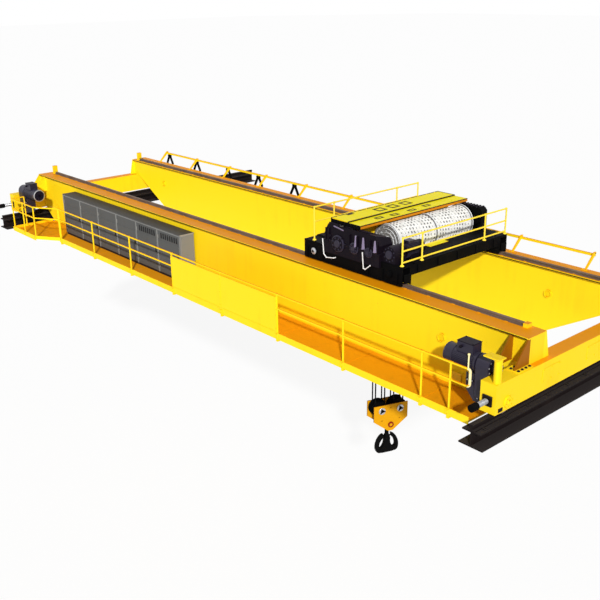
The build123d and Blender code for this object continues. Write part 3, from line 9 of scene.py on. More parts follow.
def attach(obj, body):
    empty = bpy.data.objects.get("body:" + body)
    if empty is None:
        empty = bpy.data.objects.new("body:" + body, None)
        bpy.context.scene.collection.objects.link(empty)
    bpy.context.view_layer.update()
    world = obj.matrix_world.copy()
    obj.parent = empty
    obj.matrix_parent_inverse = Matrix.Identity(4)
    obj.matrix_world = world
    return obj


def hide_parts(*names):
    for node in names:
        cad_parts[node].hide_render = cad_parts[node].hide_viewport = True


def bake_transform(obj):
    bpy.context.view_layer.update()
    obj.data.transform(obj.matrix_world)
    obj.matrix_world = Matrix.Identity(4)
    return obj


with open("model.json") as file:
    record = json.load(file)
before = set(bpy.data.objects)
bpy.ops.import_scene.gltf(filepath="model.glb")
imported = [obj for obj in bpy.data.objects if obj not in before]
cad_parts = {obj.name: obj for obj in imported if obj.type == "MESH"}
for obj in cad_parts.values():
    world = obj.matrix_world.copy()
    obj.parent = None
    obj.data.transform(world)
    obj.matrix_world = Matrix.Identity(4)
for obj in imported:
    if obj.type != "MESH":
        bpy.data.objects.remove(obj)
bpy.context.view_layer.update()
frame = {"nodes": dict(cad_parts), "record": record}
nodes = frame["nodes"]

# Camera at the photograph's place
CAMERA_PLACE = Vector((29.47281, -15.27214, 8.12318))
CAMERA_YAW = 0.85522
CAMERA_PITCH = -0.35648
CAMERA_ROLL = -0.01448
CAMERA_LENS = 50.672

camera = bpy.data.objects.new("camera", bpy.data.cameras.new("camera"))
bpy.context.scene.collection.objects.link(camera)
camera.matrix_world = (
    Matrix.Translation(CAMERA_PLACE)
    @ Matrix.Rotation(CAMERA_YAW, 4, "Z")
    @ Matrix.Rotation(math.pi / 2 + CAMERA_PITCH, 4, "X")
    @ Matrix.Rotation(CAMERA_ROLL, 4, "Z")
)
camera.data.lens = CAMERA_LENS
camera.data.sensor_width = 36.0
camera.data.clip_end = 500.0
bpy.context.scene.camera = camera
bpy.context.scene.view_settings.view_transform = "Standard"


class Wire:
    """One output of a material's nodes. Sums written on it become Math nodes."""

    def __init__(self, tree, socket):
        self.tree = tree
        self.socket = socket

    def node(self, kind, settings=None, inputs=None, out=0):
        """Adds a node of any kind: its settings first, then values or links for its sockets."""
        made = self.tree.nodes.new(kind)
        for name, value in (settings or {}).items():
            setattr(made, name, value)
        for key, value in (inputs or {}).items():
            if isinstance(value, Wire):
                self.tree.links.new(value.socket, made.inputs[key])
            else:
                made.inputs[key].default_value = value
        return Wire(self.tree, made.outputs[out])

    def math(self, operation, first, second=0.0):
        return self.node("ShaderNodeMath", {"operation": operation}, {0: first, 1: second})

    def __add__(self, other):
        return self.math("ADD", self, other)

    def __sub__(self, other):
        return self.math("SUBTRACT", self, other)

    def __mul__(self, other):
        return self.math("MULTIPLY", self, other)

    def __rsub__(self, other):
        return self.math("SUBTRACT", other, self)

    __radd__ = __add__


def new_finish(name):
    """A material with its shader, and a wire of the object's own coordinates."""
    made = bpy.data.materials.new(name)
    made.use_nodes = True
    shader = made.node_tree.nodes["Principled BSDF"]
    start = Wire(made.node_tree, None)
    place = start.node("ShaderNodeTexCoord", out="Object")
    return made, shader, place


def feed(shader, wires):
    """Links wires, or sets plain values, on a shader's sockets."""
    for key, value in wires.items():
        if isinstance(value, Wire):
            value.tree.links.new(value.socket, shader.inputs[key])
        else:
            shader.inputs[key].default_value = value


def noise(place, scale, detail=3.0, rough=0.5, stretch=(1.0, 1.0, 1.0)):
    """Cloudy variation over the surface, from 0 to 1."""
    spread = place.node("ShaderNodeMapping", inputs={"Vector": place, "Scale": stretch})
    return place.node(
        "ShaderNodeTexNoise", inputs={"Vector": spread, "Scale": scale, "Detail": detail, "Roughness": rough}
    )


def ease(wire, low, high):
    """A soft step from 0 to 1 as the wire goes from low to high."""
    return wire.node(
        "ShaderNodeMapRange",
        {"interpolation_type": "SMOOTHSTEP"},
        {"Value": wire, "From Min": low, "From Max": high},
    )


def tint(share, first, second):
    """A colour between two, by a share from 0 to 1."""
    return share.node("ShaderNodeMix", {"data_type": "RGBA"}, {0: share, 6: first, 7: second}, out=2)


def facing(place, direction, low=0.45, high=0.85):
    """1 on faces that look in a direction, 0 on faces square to it."""
    normal = place.node("ShaderNodeNewGeometry", out="Normal")
    dot = place.node("ShaderNodeVectorMath", {"operation": "DOT_PRODUCT"}, {0: normal, 1: direction}, out=1)
    return ease(dot, low, high)


def bumps(height, strength, distance):
    """A normal that follows a height."""
    return height.node("ShaderNodeBump", inputs={"Strength": strength, "Distance": distance, "Height": height})


def coordinate(place, axis):
    """One of the coordinates: 0 along the girders, 1 along the runways, 2 up."""
    return place.node("ShaderNodeSeparateXYZ", inputs={0: place}, out=axis)


def rgb(red, green, blue):
    """A colour from 0-255 picture values."""
    def linear(value):
        share = value / 255
        return share / 12.92 if share <= 0.04045 else ((share + 0.055) / 1.055) ** 2.4
    return (linear(red), linear(green), linear(blue), 1.0)


UP, FRONT, REAR, RIGHT = (0.0, 0.0, 1.0), (0.0, -1.0, 0.0), (0.0, 1.0, 0.0), (1.0, 0.0, 0.0)


def paint(name, side, top, dirt, roughness=0.42, dirt_share=0.22, gloss=0.12, tread=False, patches=()):
    """Plant paint: one tone on upright faces and another on faces that look up, with streaks of dirt and chips over
    both. The up-facing tone is painted light and shade, set for how lit the tops are.

    patches are pairs of a function that gives a mask from the coordinates and the colour under that mask."""
    made, shader, place = new_finish(name)
    cloud = noise(place, 0.8, detail=4.0)
    streak = noise(place, 5.0, detail=4.0, stretch=(1.0, 1.0, 0.08))
    speck = noise(place, 38.0, detail=2.0)
    # Painted light and shade: faces that look up take the top tone, which stands for how lit the tops are.
    colour = tint(facing(place, UP), side, top)
    for mask, tone in patches:
        colour = tint(mask(place), colour, tone)
    grime = ease(cloud * 0.55 + streak * 0.45, 0.5, 0.74) * dirt_share
    colour = tint(grime, colour, dirt)
    colour = tint(ease(speck, 0.7, 0.78) * 0.5, colour, dirt)
    grain = noise(place, 260.0, detail=2.0)
    if tread:
        along = place.node("ShaderNodeTexWave", {"bands_direction": "X"}, {"Vector": place, "Scale": 5.0})
        across = place.node("ShaderNodeTexWave", {"bands_direction": "Y"}, {"Vector": place, "Scale": 5.0})
        grain = ease(along * across, 0.45, 0.6)
    feed(
        shader,
        {
            "Base Color": colour,
            "Roughness": roughness + cloud * 0.16,
            "Normal": bumps(grain, 0.3 if tread else 0.08, 0.004 if tread else 0.002),
            "Specular IOR Level": gloss,
        },
    )
    return made


def metal(name, light, dark, roughness, brushed=(1.0, 1.0, 1.0), share=0.6, bare=0.85, gloss=0.5):
    """Bare metal: two tones in brushed streaks, with worn and darker places."""
    made, shader, place = new_finish(name)
    streak = noise(place, 24.0, detail=5.0, stretch=brushed)
    cloud = noise(place, 2.2, detail=4.0)
    colour = tint(ease(cloud * 0.5 + streak * 0.5, 0.38, 0.66) * share, light, dark)
    feed(
        shader,
        {
            "Base Color": colour,
            "Metallic": bare,
            "Specular IOR Level": gloss,
            "Roughness": roughness + streak * 0.25,
            "Normal": bumps(streak, 0.12, 0.002),
        },
    )
    return made


# Drum's axis, and the hook block's own directions as its plates stand at rest
DRUM_X, DRUM_Z = 16.355, 2.43
BLOCK_TURN = math.radians(70.0)
BLOCK_ALONG = Vector((math.cos(BLOCK_TURN), math.sin(BLOCK_TURN), 0.0))
BLOCK_ACROSS = Vector((math.sin(BLOCK_TURN), -math.cos(BLOCK_TURN), 0.0))
BLOCK_PLACE = Vector((15.655, -0.2, -2.37))


# Masks that place a second tone on a finish
def outer_flare_shade(place):
    """1 on the right end's gussets on the front sides of both girders, which are painted brown as the shade they
    stand in, 0 on the others.
    """
    along, depth = coordinate(place, 0), coordinate(place, 1)
    front = 1.0 - ease(depth, -2.05, -2.0)
    rear = ease(depth, 0.0, 0.1) - ease(depth, 1.74, 1.76)
    return (front + rear) * ease(along, 10.0, 11.0)


def right_face_shading(place):
    """1 on faces that look along the girders to the right, where the light they get is painted: a darker tone as
    shade on the yellow and cover paints, a lighter grey as light on the cabinets.
    """
    return facing(place, RIGHT)


def near_end_tops_painted_light(place):
    """1 on the carriages' near ends, whose tops are painted in the lit yellow as painted light rather than the
    shaded top tone.
    """
    return 1.0 - ease(coordinate(place, 1), -2.3, -2.1)


def drum_ends(place):
    """1 on the drum's two end faces."""
    return facing(place, FRONT) + facing(place, REAR)


def plate_edges(place):
    """1 on the cut edges of the block's plates, 0 on their faces."""
    return 1.0 - (facing(place, BLOCK_ACROSS, 0.5, 0.8) + facing(place, -BLOCK_ACROSS, 0.5, 0.8))


# Finishes. In each paint the second colour is the tone of faces that look up, painted light and shade: darker on the
# yellow, amber and grey paints, lighter on the cover, drum, runway and dark machine paints.
RUST = rgb(112, 66, 14)
# The yellow's top tone is a darker orange, painted as shade on faces that look up.
YELLOW_SIDE, YELLOW_TOP_SHADE, YELLOW_END_SHADE = rgb(255, 220, 24), rgb(238, 152, 4), rgb(244, 202, 18)
# The end tone is a duller yellow, painted as shade on faces that look to the right, which the sun lights most.
YELLOW = paint("crane_yellow", YELLOW_SIDE, YELLOW_TOP_SHADE, RUST, dirt_share=0.09, patches=[(right_face_shading, YELLOW_END_SHADE)])
# The carriage paint: its near ends keep the lit yellow on top as painted light, and its right faces take the end
# tone painted as shade.
CARRIAGE = paint(
    "carriage_yellow",
    YELLOW_SIDE,
    YELLOW_TOP_SHADE,
    RUST,
    dirt_share=0.12,
    patches=[(near_end_tops_painted_light, rgb(255, 216, 26)), (right_face_shading, YELLOW_END_SHADE)],
)
# The cover's right faces are painted a deep orange as shade.
COVER = paint("cover_yellow", rgb(252, 210, 12), rgb(255, 238, 10), RUST, patches=[(right_face_shading, rgb(206, 126, 12))])
TREAD = paint("tread_orange", rgb(224, 150, 10), rgb(228, 150, 10), rgb(100, 62, 10), tread=True)
# The gussets' front flares at the right end are painted dark brown as shade.
GUSSET_SHADE = paint("gusset_painted_shade", YELLOW_SIDE, YELLOW_TOP_SHADE, RUST, patches=[(outer_flare_shade, rgb(150, 90, 6))])
AMBER = paint(
    "block_amber", rgb(206, 146, 8), rgb(172, 108, 8), RUST, gloss=0.08, patches=[(plate_edges, rgb(120, 72, 10))]
)
PALE_RAIL = paint("rail_pale_yellow", rgb(252, 222, 70), rgb(252, 214, 40), RUST)
CREAM = paint("loop_cream", rgb(250, 238, 176), rgb(250, 230, 150), RUST)
BLACK = paint("machine_black", rgb(6, 6, 7), rgb(9, 9, 10), rgb(34, 30, 27), gloss=0.04, roughness=0.55)
RUNWAY = paint("runway_black", rgb(24, 18, 18), rgb(52, 47, 46), rgb(66, 54, 46), gloss=0.08, roughness=0.5)
SLATE = paint("drive_slate", rgb(37, 33, 48), rgb(48, 45, 59), rgb(14, 12, 16), gloss=0.3, roughness=0.3)
# Pale lilac, painted on the gearbox's ribs as highlights.
LILAC_HIGHLIGHT = paint("rib_painted_highlight", rgb(122, 110, 136), rgb(150, 140, 160), rgb(70, 60, 78), gloss=0.3, roughness=0.3)
DULL = paint("gearbox_dark", rgb(17, 12, 20), rgb(28, 22, 33), rgb(54, 43, 52), gloss=0.07, roughness=0.34)
# The cabinets' right end faces are painted a lighter grey as light falling on them.
GREY = paint(
    "cabinet_grey", rgb(86, 87, 86), rgb(60, 57, 54), rgb(50, 48, 46), patches=[(right_face_shading, rgb(164, 162, 156))]
)
FRAME_GREY = paint("frame_light_grey", rgb(128, 129, 127), rgb(96, 96, 94), rgb(70, 68, 64))
# Near black for the louvres, painted as the shade inside their slots, and for the handles and the strip along the
# cabinets' foot.
LOUVRE_SHADE_AND_HANDLES = paint("louvre_shade_and_handle_dark", rgb(28, 28, 30), rgb(26, 26, 27), rgb(16, 16, 16))
DRUM = paint(
    "drum_pale_grey",
    rgb(222, 224, 226),
    rgb(236, 238, 238),
    rgb(128, 124, 118),
    patches=[(drum_ends, rgb(124, 121, 118))],
)
PIPE = paint("pipe_white", rgb(232, 232, 230), rgb(240, 240, 238), rgb(120, 116, 110))
LOCK = paint("lock_ring_red", rgb(128, 30, 14), rgb(128, 30, 14), rgb(60, 26, 16))
RUBBER = paint("rubber_black", rgb(7, 7, 7), rgb(11, 11, 11), rgb(30, 28, 26), roughness=0.75, gloss=0.05)
# Dark brown for the cover's seams, and painted as shade on the rods under the flange edges.
SEAM_AND_SHADE_LINE = paint("seam_and_shade_line_dark", rgb(40, 27, 6), rgb(40, 27, 6), rgb(20, 14, 6))
STEEL = metal("rail_steel", rgb(124, 108, 96), rgb(84, 60, 44), 0.5, brushed=(0.05, 1.0, 1.0), bare=0.3, gloss=0.2)
BRIGHT = metal("bright_steel", rgb(206, 208, 212), rgb(150, 150, 152), 0.3)
FORGED = metal("forged_black", rgb(4, 4, 5), rgb(11, 10, 10), 0.5, bare=0.0, gloss=0.05)
ROPE = metal("rope_dark", rgb(10, 9, 9), rgb(5, 5, 5), 0.5, bare=0.0, gloss=0.08)


def wound_rope():
    """Pale greased rope on the drum, with short dark marks between the turns all around it, painted as the shade in
    the grooves between turns.
    """
    row_width = 0.108
    made, shader, place = new_finish("wound_rope")
    x, y, z = (coordinate(place, axis) for axis in range(3))
    around = place.math("ARCTAN2", z - DRUM_Z, x - DRUM_X)
    rows = place.math("SINE", y * (2 * math.pi / row_width) + around * 2.0)
    shade_dashes = place.math("SINE", around * 26.0 + y * 9.0)
    worn = noise(place, 6.0, detail=3.0)
    # Painted shade: short dark marks in bands round the drum stand for the shade between the turns.
    share = ease(rows + worn, 0.75, 1.25) * ease(shade_dashes + worn * 0.8, 0.1, 0.6)
    colour = tint(ease(worn, 0.4, 0.75) * 0.35, rgb(226, 225, 220), rgb(158, 150, 138))
    colour = tint(share * 0.9, colour, rgb(52, 47, 44))
    feed(shader, {"Base Color": colour, "Roughness": worn * 0.2 + 0.5, "Specular IOR Level": 0.15})
    return made


WOUND = wound_rope()

# Finish of each solid, by its slot or by its own name
FINISHES = {
    "yellow_paint": YELLOW,
    "black_paint": BLACK,
    "rail_steel": STEEL,
    "bright_steel": BRIGHT,
    "grey_paint": GREY,
    "drum_grey": DRUM,
    "hook_black": FORGED,
    "rope": ROPE,
}
OWN_FINISHES = {
    "end_gussets": GUSSET_SHADE,
    "end_carriage_left": CARRIAGE,
    "end_carriage_right": CARRIAGE,
    "hoist_cover": COVER,
    "block_plates": AMBER,
    "trolley_handrail_left": PALE_RAIL,
    "trolley_handrail_right": PALE_RAIL,
    "runway_beam_left": RUNWAY,
    "runway_beam_right": RUNWAY,
    "runway_rail_left": RUNWAY,
    "runway_rail_right": RUNWAY,
    "travel_gearbox_left": SLATE,
    "travel_gearbox_right": SLATE,
    "travel_motor_left": SLATE,
    "travel_motor_right": SLATE,
    "hoist_gearbox": DULL,
    "hoist_motor": DULL,
    "buffer_heads": RUBBER,
    "hook_latches": FORGED,
}
for part in frame["record"]["subparts"]:
    skin = nodes[part["node"]].data.materials
    skin.clear()
    skin.append(OWN_FINISHES.get(part["node"], FINISHES[part["material_slot"]]))


# Shaping of pieces
SMOOTH_ANGLE = math.radians(40.0)


def loose_piece(name, finish, mesh):
    """A finished mesh object that rides on nothing yet."""
    bmesh.ops.recalc_face_normals(mesh, faces=mesh.faces)
    data = bpy.data.meshes.new(name)
    mesh.to_mesh(data)
    mesh.free()
    data.shade_smooth()
    data.set_sharp_from_angle(angle=SMOOTH_ANGLE)
    data.materials.append(finish)
    made = bpy.data.objects.new(name, data)
    bpy.context.scene.collection.objects.link(made)
    return made


def piece(name, body, finish, mesh):
    """Turns a bmesh into one finished piece that moves with a body."""
    made = loose_piece(name, finish, mesh)
    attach(made, body)
    return made


def edges_of(verts):
    """The edges at some vertices, each once and in a steady order."""
    return list(dict.fromkeys(edge for vert in verts for edge in vert.link_edges))


def rim_edges(mesh, edges, rim):
    """Breaks sharp edges by a width."""
    bmesh.ops.bevel(mesh, geom=edges, offset=rim, affect="EDGES", segments=1, profile=0.5, material=-1)


def block(mesh, low, high, rim=0.0, turn=None):
    """A box between two corners, its edges broken by rim, turned about its middle if asked."""
    low, high = Vector(low), Vector(high)
    place = Matrix.Translation((low + high) / 2) @ (turn or Matrix()) @ Matrix.Diagonal((*(high - low), 1.0))
    verts = bmesh.ops.create_cube(mesh, size=1.0, matrix=place)["verts"]
    if rim:
        rim_edges(mesh, edges_of(verts), rim)


def lying(place, direction):
    """A place whose own Z looks in a direction."""
    return Matrix.Translation(place) @ direction.to_track_quat("Z", "Y").to_matrix().to_4x4()


def rod(mesh, start, end, radius, sides=12, far_radius=None, rim=0.0):
    """A round bar between two points, its end edges broken by rim."""
    start, end = Vector(start), Vector(end)
    verts = bmesh.ops.create_cone(
        mesh,
        cap_ends=True,
        segments=sides,
        radius1=radius,
        radius2=radius if far_radius is None else far_radius,
        depth=(end - start).length,
        matrix=lying((start + end) / 2, end - start),
    )["verts"]
    if rim:
        at_ends = [edge for edge in edges_of(verts) if any(len(face.verts) == sides for face in edge.link_faces)]
        rim_edges(mesh, at_ends, rim)


def bolt(mesh, place, axis, size):
    """A hexagon bolt head of radius size on its washer."""
    place, axis = Vector(place), Vector(axis).normalized()
    washer = place + axis * size * 0.25
    rod(mesh, place, washer, size * 1.45, sides=10)
    rod(mesh, washer, washer + axis * size * 0.85, size, sides=6, far_radius=size * 0.88)


def bolt_ring(mesh, centre, axis, radius, count, size):
    """Bolts evenly around a centre."""
    axis = Vector(axis).normalized()
    spoke = axis.orthogonal().normalized() * radius
    for step in range(count):
        turn = Matrix.Rotation(2 * math.pi * (step + 0.5) / count, 3, axis)
        bolt(mesh, Vector(centre) + turn @ spoke, axis, size)


def join(mesh, own):
    """Moves a small mesh with its faces turned outward into a larger one."""
    bmesh.ops.recalc_face_normals(own, faces=own.faces)
    shape = bpy.data.meshes.new("joined_shape")
    own.to_mesh(shape)
    own.free()
    mesh.from_mesh(shape)
    bpy.data.meshes.remove(shape)


def turned(mesh, centre, axis, profile, steps=24):
    """A turned shape: a profile of radius and height spun once around the axis."""
    axis, centre = Vector(axis).normalized(), Vector(centre)
    spoke = axis.orthogonal().normalized()
    own = bmesh.new()
    points = [own.verts.new(centre + spoke * radius + axis * height) for radius, height in profile]
    edges = [own.edges.new(pair) for pair in zip(points, points[1:])]
    bmesh.ops.spin(own, geom=points + edges, cent=centre, axis=axis, angle=2 * math.pi, steps=steps, use_merge=True)
    bmesh.ops.remove_doubles(own, verts=own.verts, dist=1e-5)
    join(mesh, own)


def sweep(mesh, place, wire, sides, **path):
    """A round bar: a ring of radius wire at a place, spun along a path, with its ends closed."""
    ring = bmesh.ops.create_circle(mesh, cap_ends=False, segments=sides, radius=wire, matrix=place)["verts"]
    rims = edges_of(ring)
    last = bmesh.ops.spin(mesh, geom=ring + rims, **path)["geom_last"]
    ends = rims + [part for part in last if isinstance(part, bmesh.types.BMEdge)]
    bmesh.ops.holes_fill(mesh, edges=ends, sides=sides)


def coil(mesh, start, axis, radius, length, turns, wire, steps=16, sides=6, from_angle=0.0):
    """A wire wound around an axis: its round section is spun and drawn along in one go."""
    axis, start = Vector(axis).normalized(), Vector(start)
    spoke = Matrix.Rotation(from_angle, 3, axis) @ axis.orthogonal().normalized()
    run = axis.cross(spoke) * 2 * math.pi * radius * turns + axis * length
    total = int(turns * steps)
    own = bmesh.new()
    sweep(
        own,
        lying(start + spoke * radius, run),
        wire,
        sides,
        cent=start,
        axis=axis,
        dvec=axis * length / total,
        angle=2 * math.pi * turns,
        steps=total,
    )
    join(mesh, own)


# Places on the crane, in metres
SPAN = 21.11
CARRIAGE_ENDS = ((0.0, -1), (SPAN, 1))
CARRIAGE_HALF = 0.18
CARRIAGE_TOP = 1.18
COVER_THICKNESS = 0.008
BUFFER_Z = 0.82
BUFFER_FOOT, BUFFER_FOOT_FACE = 3.4, 3.432
WHEEL_YS = (-3.0, 3.0)
AXLE_Z = 0.7203
DRIVE_Y, DRIVE_Z = -3.0, 1.3
DRIVE_RADIUS = 0.185
TERMINAL_TOP = 1.655
GEARCASE_FRONT = -3.15
RUNWAY_FOOT_TOP = 0.34
GIRDER_TOP = 1.75
FLANGE_UNDERSIDE = 1.722
SOCKET_XS, SOCKET_Z = (2.105, 19.005), 1.1
WEB_FACES = ((-2.205, -1), (-1.735, 1), (1.735, -1), (2.205, 1))
FLANGE_EDGES = (-2.2735, -1.6665, 1.6665, 2.2735)
RAIL_YS = (-1.78, 1.78)
DECK_TOP = 0.13
TREAD_THICKNESS = 0.006
DECK_OUTER = -3.27
DECK_INNER = -2.205
POST_Y = -3.234
POST_XS = [3.355 + 2.285 * step for step in range(8)] + [20.085]
RAIL_HEIGHTS = (1.206, 0.836)
LANDING_OUTER = -3.78
LANDING_POST_Y = -3.744
LANDING_POST_XS = (0.779, 1.63, 2.481)
FRAME_FRONT = -1.93
TROLLEY_LEFT, TROLLEY_RIGHT = 14.33, 17.58
TROLLEY_DECK_TOP = 2.26
TROLLEY_AXLE_Z = 2.0053
TROLLEY_WHEEL_XS = (14.705, 17.205)
HOIST_MOTOR_X, HOIST_MOTOR_Z = 17.155, 2.44


# Runways: rail clips
clips = bmesh.new()
top = RUNWAY_FOOT_TOP + 0.018
for x in (0.0, SPAN):
    for step in range(17):
        y = -3.6 + 0.69 * step
        for side in (-1, 1):
            inner, outer = sorted((x + side * 0.088, x + side * 0.17))
            block(clips, (inner, y - 0.045, RUNWAY_FOOT_TOP), (outer, y + 0.045, top), rim=0.004)
            bolt(clips, (x + side * 0.14, y, top), UP, 0.016)
piece("runway_clips", "runway", RUNWAY, clips)

# Girders: weld beads under the flanges, dark rods painted as shade under the flange edges, clips along the trolley
# rails, plugs in the sockets
beads = bmesh.new()
for y, _ in WEB_FACES:
    rod(beads, (0.0, y, FLANGE_UNDERSIDE), (SPAN, y, FLANGE_UNDERSIDE), 0.013, sides=6, rim=0.002)
rod(beads, (3.32, DECK_INNER, DECK_TOP), (20.58, DECK_INNER, DECK_TOP), 0.013, sides=6, rim=0.002)
piece("girder_welds", "bridge", YELLOW, beads)

# Dark rods under the flanges' edges, painted as the shade below the flange lips.
flange_shade_lines = bmesh.new()
z = FLANGE_UNDERSIDE + 0.002
for y in FLANGE_EDGES:
    rod(flange_shade_lines, (0.0, y, z), (SPAN, y, z), 0.011, sides=6, rim=0.002)
piece("flange_edge_shade_lines", "bridge", SEAM_AND_SHADE_LINE, flange_shade_lines)

clips = bmesh.new()
top = GIRDER_TOP + 0.012
for y in RAIL_YS:
    for step in range(30):
        x = 0.75 + 0.675 * step
        for side in (-1, 1):
            inner, outer = sorted((y + side * 0.06, y + side * 0.112))
            block(clips, (x - 0.04, inner, GIRDER_TOP), (x + 0.04, outer, top), rim=0.003)
            bolt(clips, (x, y + side * 0.092, top), UP, 0.01)
piece("trolley_rail_clips", "bridge", TREAD, clips)

plugs = bmesh.new()
plug = [(0.081, 0.0), (0.081, 0.012), (0.03, 0.02), (0.0, 0.02)]
for x in SOCKET_XS:
    for y, out in WEB_FACES:
        turned(plugs, (x, y, SOCKET_Z), (0, out, 0), plug, steps=20)
piece("socket_plugs", "bridge", COVER, plugs)

# Foot plates with bolts under the end gussets
feet = bmesh.new()
foot_bolts = bmesh.new()
top = CARRIAGE_TOP + 0.022
for x, out in CARRIAGE_ENDS:
    for y in (-2.45, 2.45):
        block(feet, (x - 0.15, y - 0.24, CARRIAGE_TOP), (x + 0.15, y + 0.235, top), rim=0.005)
        for shift in (-0.18, -0.06, 0.06, 0.18):
            bolt(foot_bolts, (x - out * 0.06, y + shift, top), UP, 0.022)
            bolt(foot_bolts, (x + out * 0.11, y + shift, top), UP, 0.022)
piece("gusset_feet", "bridge", CARRIAGE, feet)
piece("gusset_foot_bolts", "bridge", RUNWAY, foot_bolts)

# End carriages: bearing cap bolts, access covers, dark buffer bases and buffer springs
cap_bolts = bmesh.new()
covers = bmesh.new()
bases = bmesh.new()
springs = bmesh.new()
for x, out in CARRIAGE_ENDS:
    axis = (out, 0, 0)
    face = x + out * CARRIAGE_HALF
    for y in WHEEL_YS:
        cap = (face + out * 0.03, y, AXLE_Z)
        bolt_ring(cap_bolts, cap, axis, 0.095, 6, 0.014)
        turned(cap_bolts, cap, axis, [(0.05, 0.0), (0.045, 0.02), (0.0, 0.024)], steps=18)
    for y in (-3.24, 3.24):
        low, high = sorted((face, face + out * 0.01))
        block(bases, (low, y - 0.07, 0.585), (high, y + 0.07, 0.67), rim=0.004)
    for y in (-1.6, 0.0, 1.6):
        low, high = sorted((face, face + out * COVER_THICKNESS))
        block(covers, (low, y - 0.3, 0.74), (high, y + 0.3, 1.04), rim=0.003)
        for shift in (-0.27, 0.0, 0.27):
            for z in (0.77, 1.01):
                bolt(covers, (face + out * COVER_THICKNESS, y + shift, z), axis, 0.012)
    for side in (-1, 1):
        along = (0, side, 0)
        near, far = sorted((side * BUFFER_FOOT, side * BUFFER_FOOT_FACE))
        block(bases, (x - 0.108, near, BUFFER_Z - 0.108), (x + 0.108, far, BUFFER_Z + 0.108), rim=0.006)
        for shift in (-0.078, 0.078):
            for rise in (-0.078, 0.078):
                bolt(bases, (x + shift, side * BUFFER_FOOT_FACE, BUFFER_Z + rise), along, 0.014)
        coil(springs, (x, side * (BUFFER_FOOT_FACE + 0.013), BUFFER_Z), along, 0.0475, 0.27, 10, 0.009)
piece("carriage_cap_bolts", "bridge", YELLOW, cap_bolts)
piece("carriage_covers", "bridge", YELLOW, covers)
piece("buffer_bases", "bridge", RUNWAY, bases)
piece("buffer_springs", "bridge", BRIGHT, springs)

# Walkway: tread plates, post feet, collars where rails cross posts, and the panel's frame
CABINET_LEFT, CABINET_RIGHT = 2.755, 9.885
treads = bmesh.new()
top = DECK_TOP + TREAD_THICKNESS
by_girder, by_cabinets = DECK_INNER - 0.02, -2.77
bays = [3.32] + POST_XS[1:] + [20.59]
for left, right in zip(bays, bays[1:]):
    inner = by_cabinets if left < CABINET_RIGHT - 0.085 else by_girder
    block(treads, (left + 0.01, DECK_OUTER + 0.018, DECK_TOP), (right - 0.01, inner, top), rim=0.002)
block(treads, (10.22, by_cabinets + 0.01, DECK_TOP), (10.4, by_girder, top), rim=0.002)
block(treads, (0.775, LANDING_OUTER + 0.02, DECK_TOP), (2.49, by_girder, top), rim=0.002)
piece("deck_treads", "bridge", TREAD, treads)

feet = bmesh.new()
for x, y in [(x, DECK_OUTER) for x in POST_XS] + [(x, LANDING_OUTER) for x in LANDING_POST_XS]:
    block(feet, (x - 0.06, y - 0.012, 0.06), (x + 0.06, y, 0.2), rim=0.003)
    for z in (0.09, 0.17):
        bolt(feet, (x, y - 0.012, z), FRONT, 0.014)
for x, y in [(x, POST_Y) for x in POST_XS] + [(x, LANDING_POST_Y) for x in LANDING_POST_XS]:
    turned(feet, (x, y, DECK_TOP), UP, [(0.022, 0.05), (0.032, 0.045), (0.05, 0.01), (0.05, 0.0)], steps=10)
    for z in RAIL_HEIGHTS:
        rod(feet, (x - 0.045, y, z), (x + 0.045, y, z), 0.031, sides=10, rim=0.005)
piece("post_feet", "bridge", YELLOW, feet)

PANEL_LEFT, PANEL_RIGHT = 10.21, 14.78
PANEL_LOW, PANEL_HIGH = 0.22, 1.118
BORDER = 0.028
borders = bmesh.new()
face = DECK_OUTER - 0.007
for z in (PANEL_LOW, PANEL_HIGH):
    block(borders, (PANEL_LEFT, face, z), (PANEL_RIGHT, DECK_OUTER, z + BORDER), rim=0.002)
for x in (PANEL_LEFT, 12.481, PANEL_RIGHT - BORDER):
    block(borders, (x, face, PANEL_LOW + BORDER), (x + BORDER, DECK_OUTER, PANEL_HIGH), rim=0.002)
    for z in (0.33, 0.68, 1.04):
        bolt(borders, (x + BORDER / 2, face, z), FRONT, 0.011)
piece("panel_frame", "bridge", YELLOW, borders)

toes = bmesh.new()
block(toes, (0.755, -3.768, DECK_TOP), (0.767, -2.3, DECK_TOP + 0.09), rim=0.002)
slant = math.atan2(0.51, 0.795)
block(
    toes,
    (2.43, -3.526, DECK_TOP),
    (3.37, -3.514, DECK_TOP + 0.09),
    rim=0.002,
    turn=Matrix.Rotation(slant, 4, "Z"),
)
piece("landing_toe_boards", "bridge", YELLOW, toes)

# Round end of the walkway rail in its pale sleeve
sleeve = bmesh.new()
LOOP_X, LOOP_ZS = 20.557, (1.146, 0.896)
SLEEVE_RADIUS, BEND_RADIUS = 0.028, 0.06
BEND_AXIS = Vector(FRONT)
rod(sleeve, (LOOP_X, POST_Y, LOOP_ZS[0]), (LOOP_X, POST_Y, LOOP_ZS[1]), SLEEVE_RADIUS, sides=12, rim=0.003)
for z, start in zip(LOOP_ZS, (0.0, -math.pi / 2)):
    centre = Vector((LOOP_X - BEND_RADIUS, POST_Y, z))
    spoke = Matrix.Rotation(-start, 3, "Y") @ Vector((BEND_RADIUS, 0.0, 0.0))
    sweep(
        sleeve,
        lying(centre + spoke, BEND_AXIS.cross(spoke)),
        SLEEVE_RADIUS,
        12,
        cent=centre,
        axis=BEND_AXIS,
        angle=math.pi / 2,
        steps=8,
    )
knob = (20.5, POST_Y, 1.5)
rod(sleeve, (20.5, POST_Y, 1.19), knob, 0.016, sides=10, rim=0.003)
turned(sleeve, knob, UP, [(0.016, -0.02), (0.028, 0.0), (0.022, 0.024), (0.0, 0.034)], steps=12)
piece("rail_end_sleeve", "bridge", CREAM, sleeve)

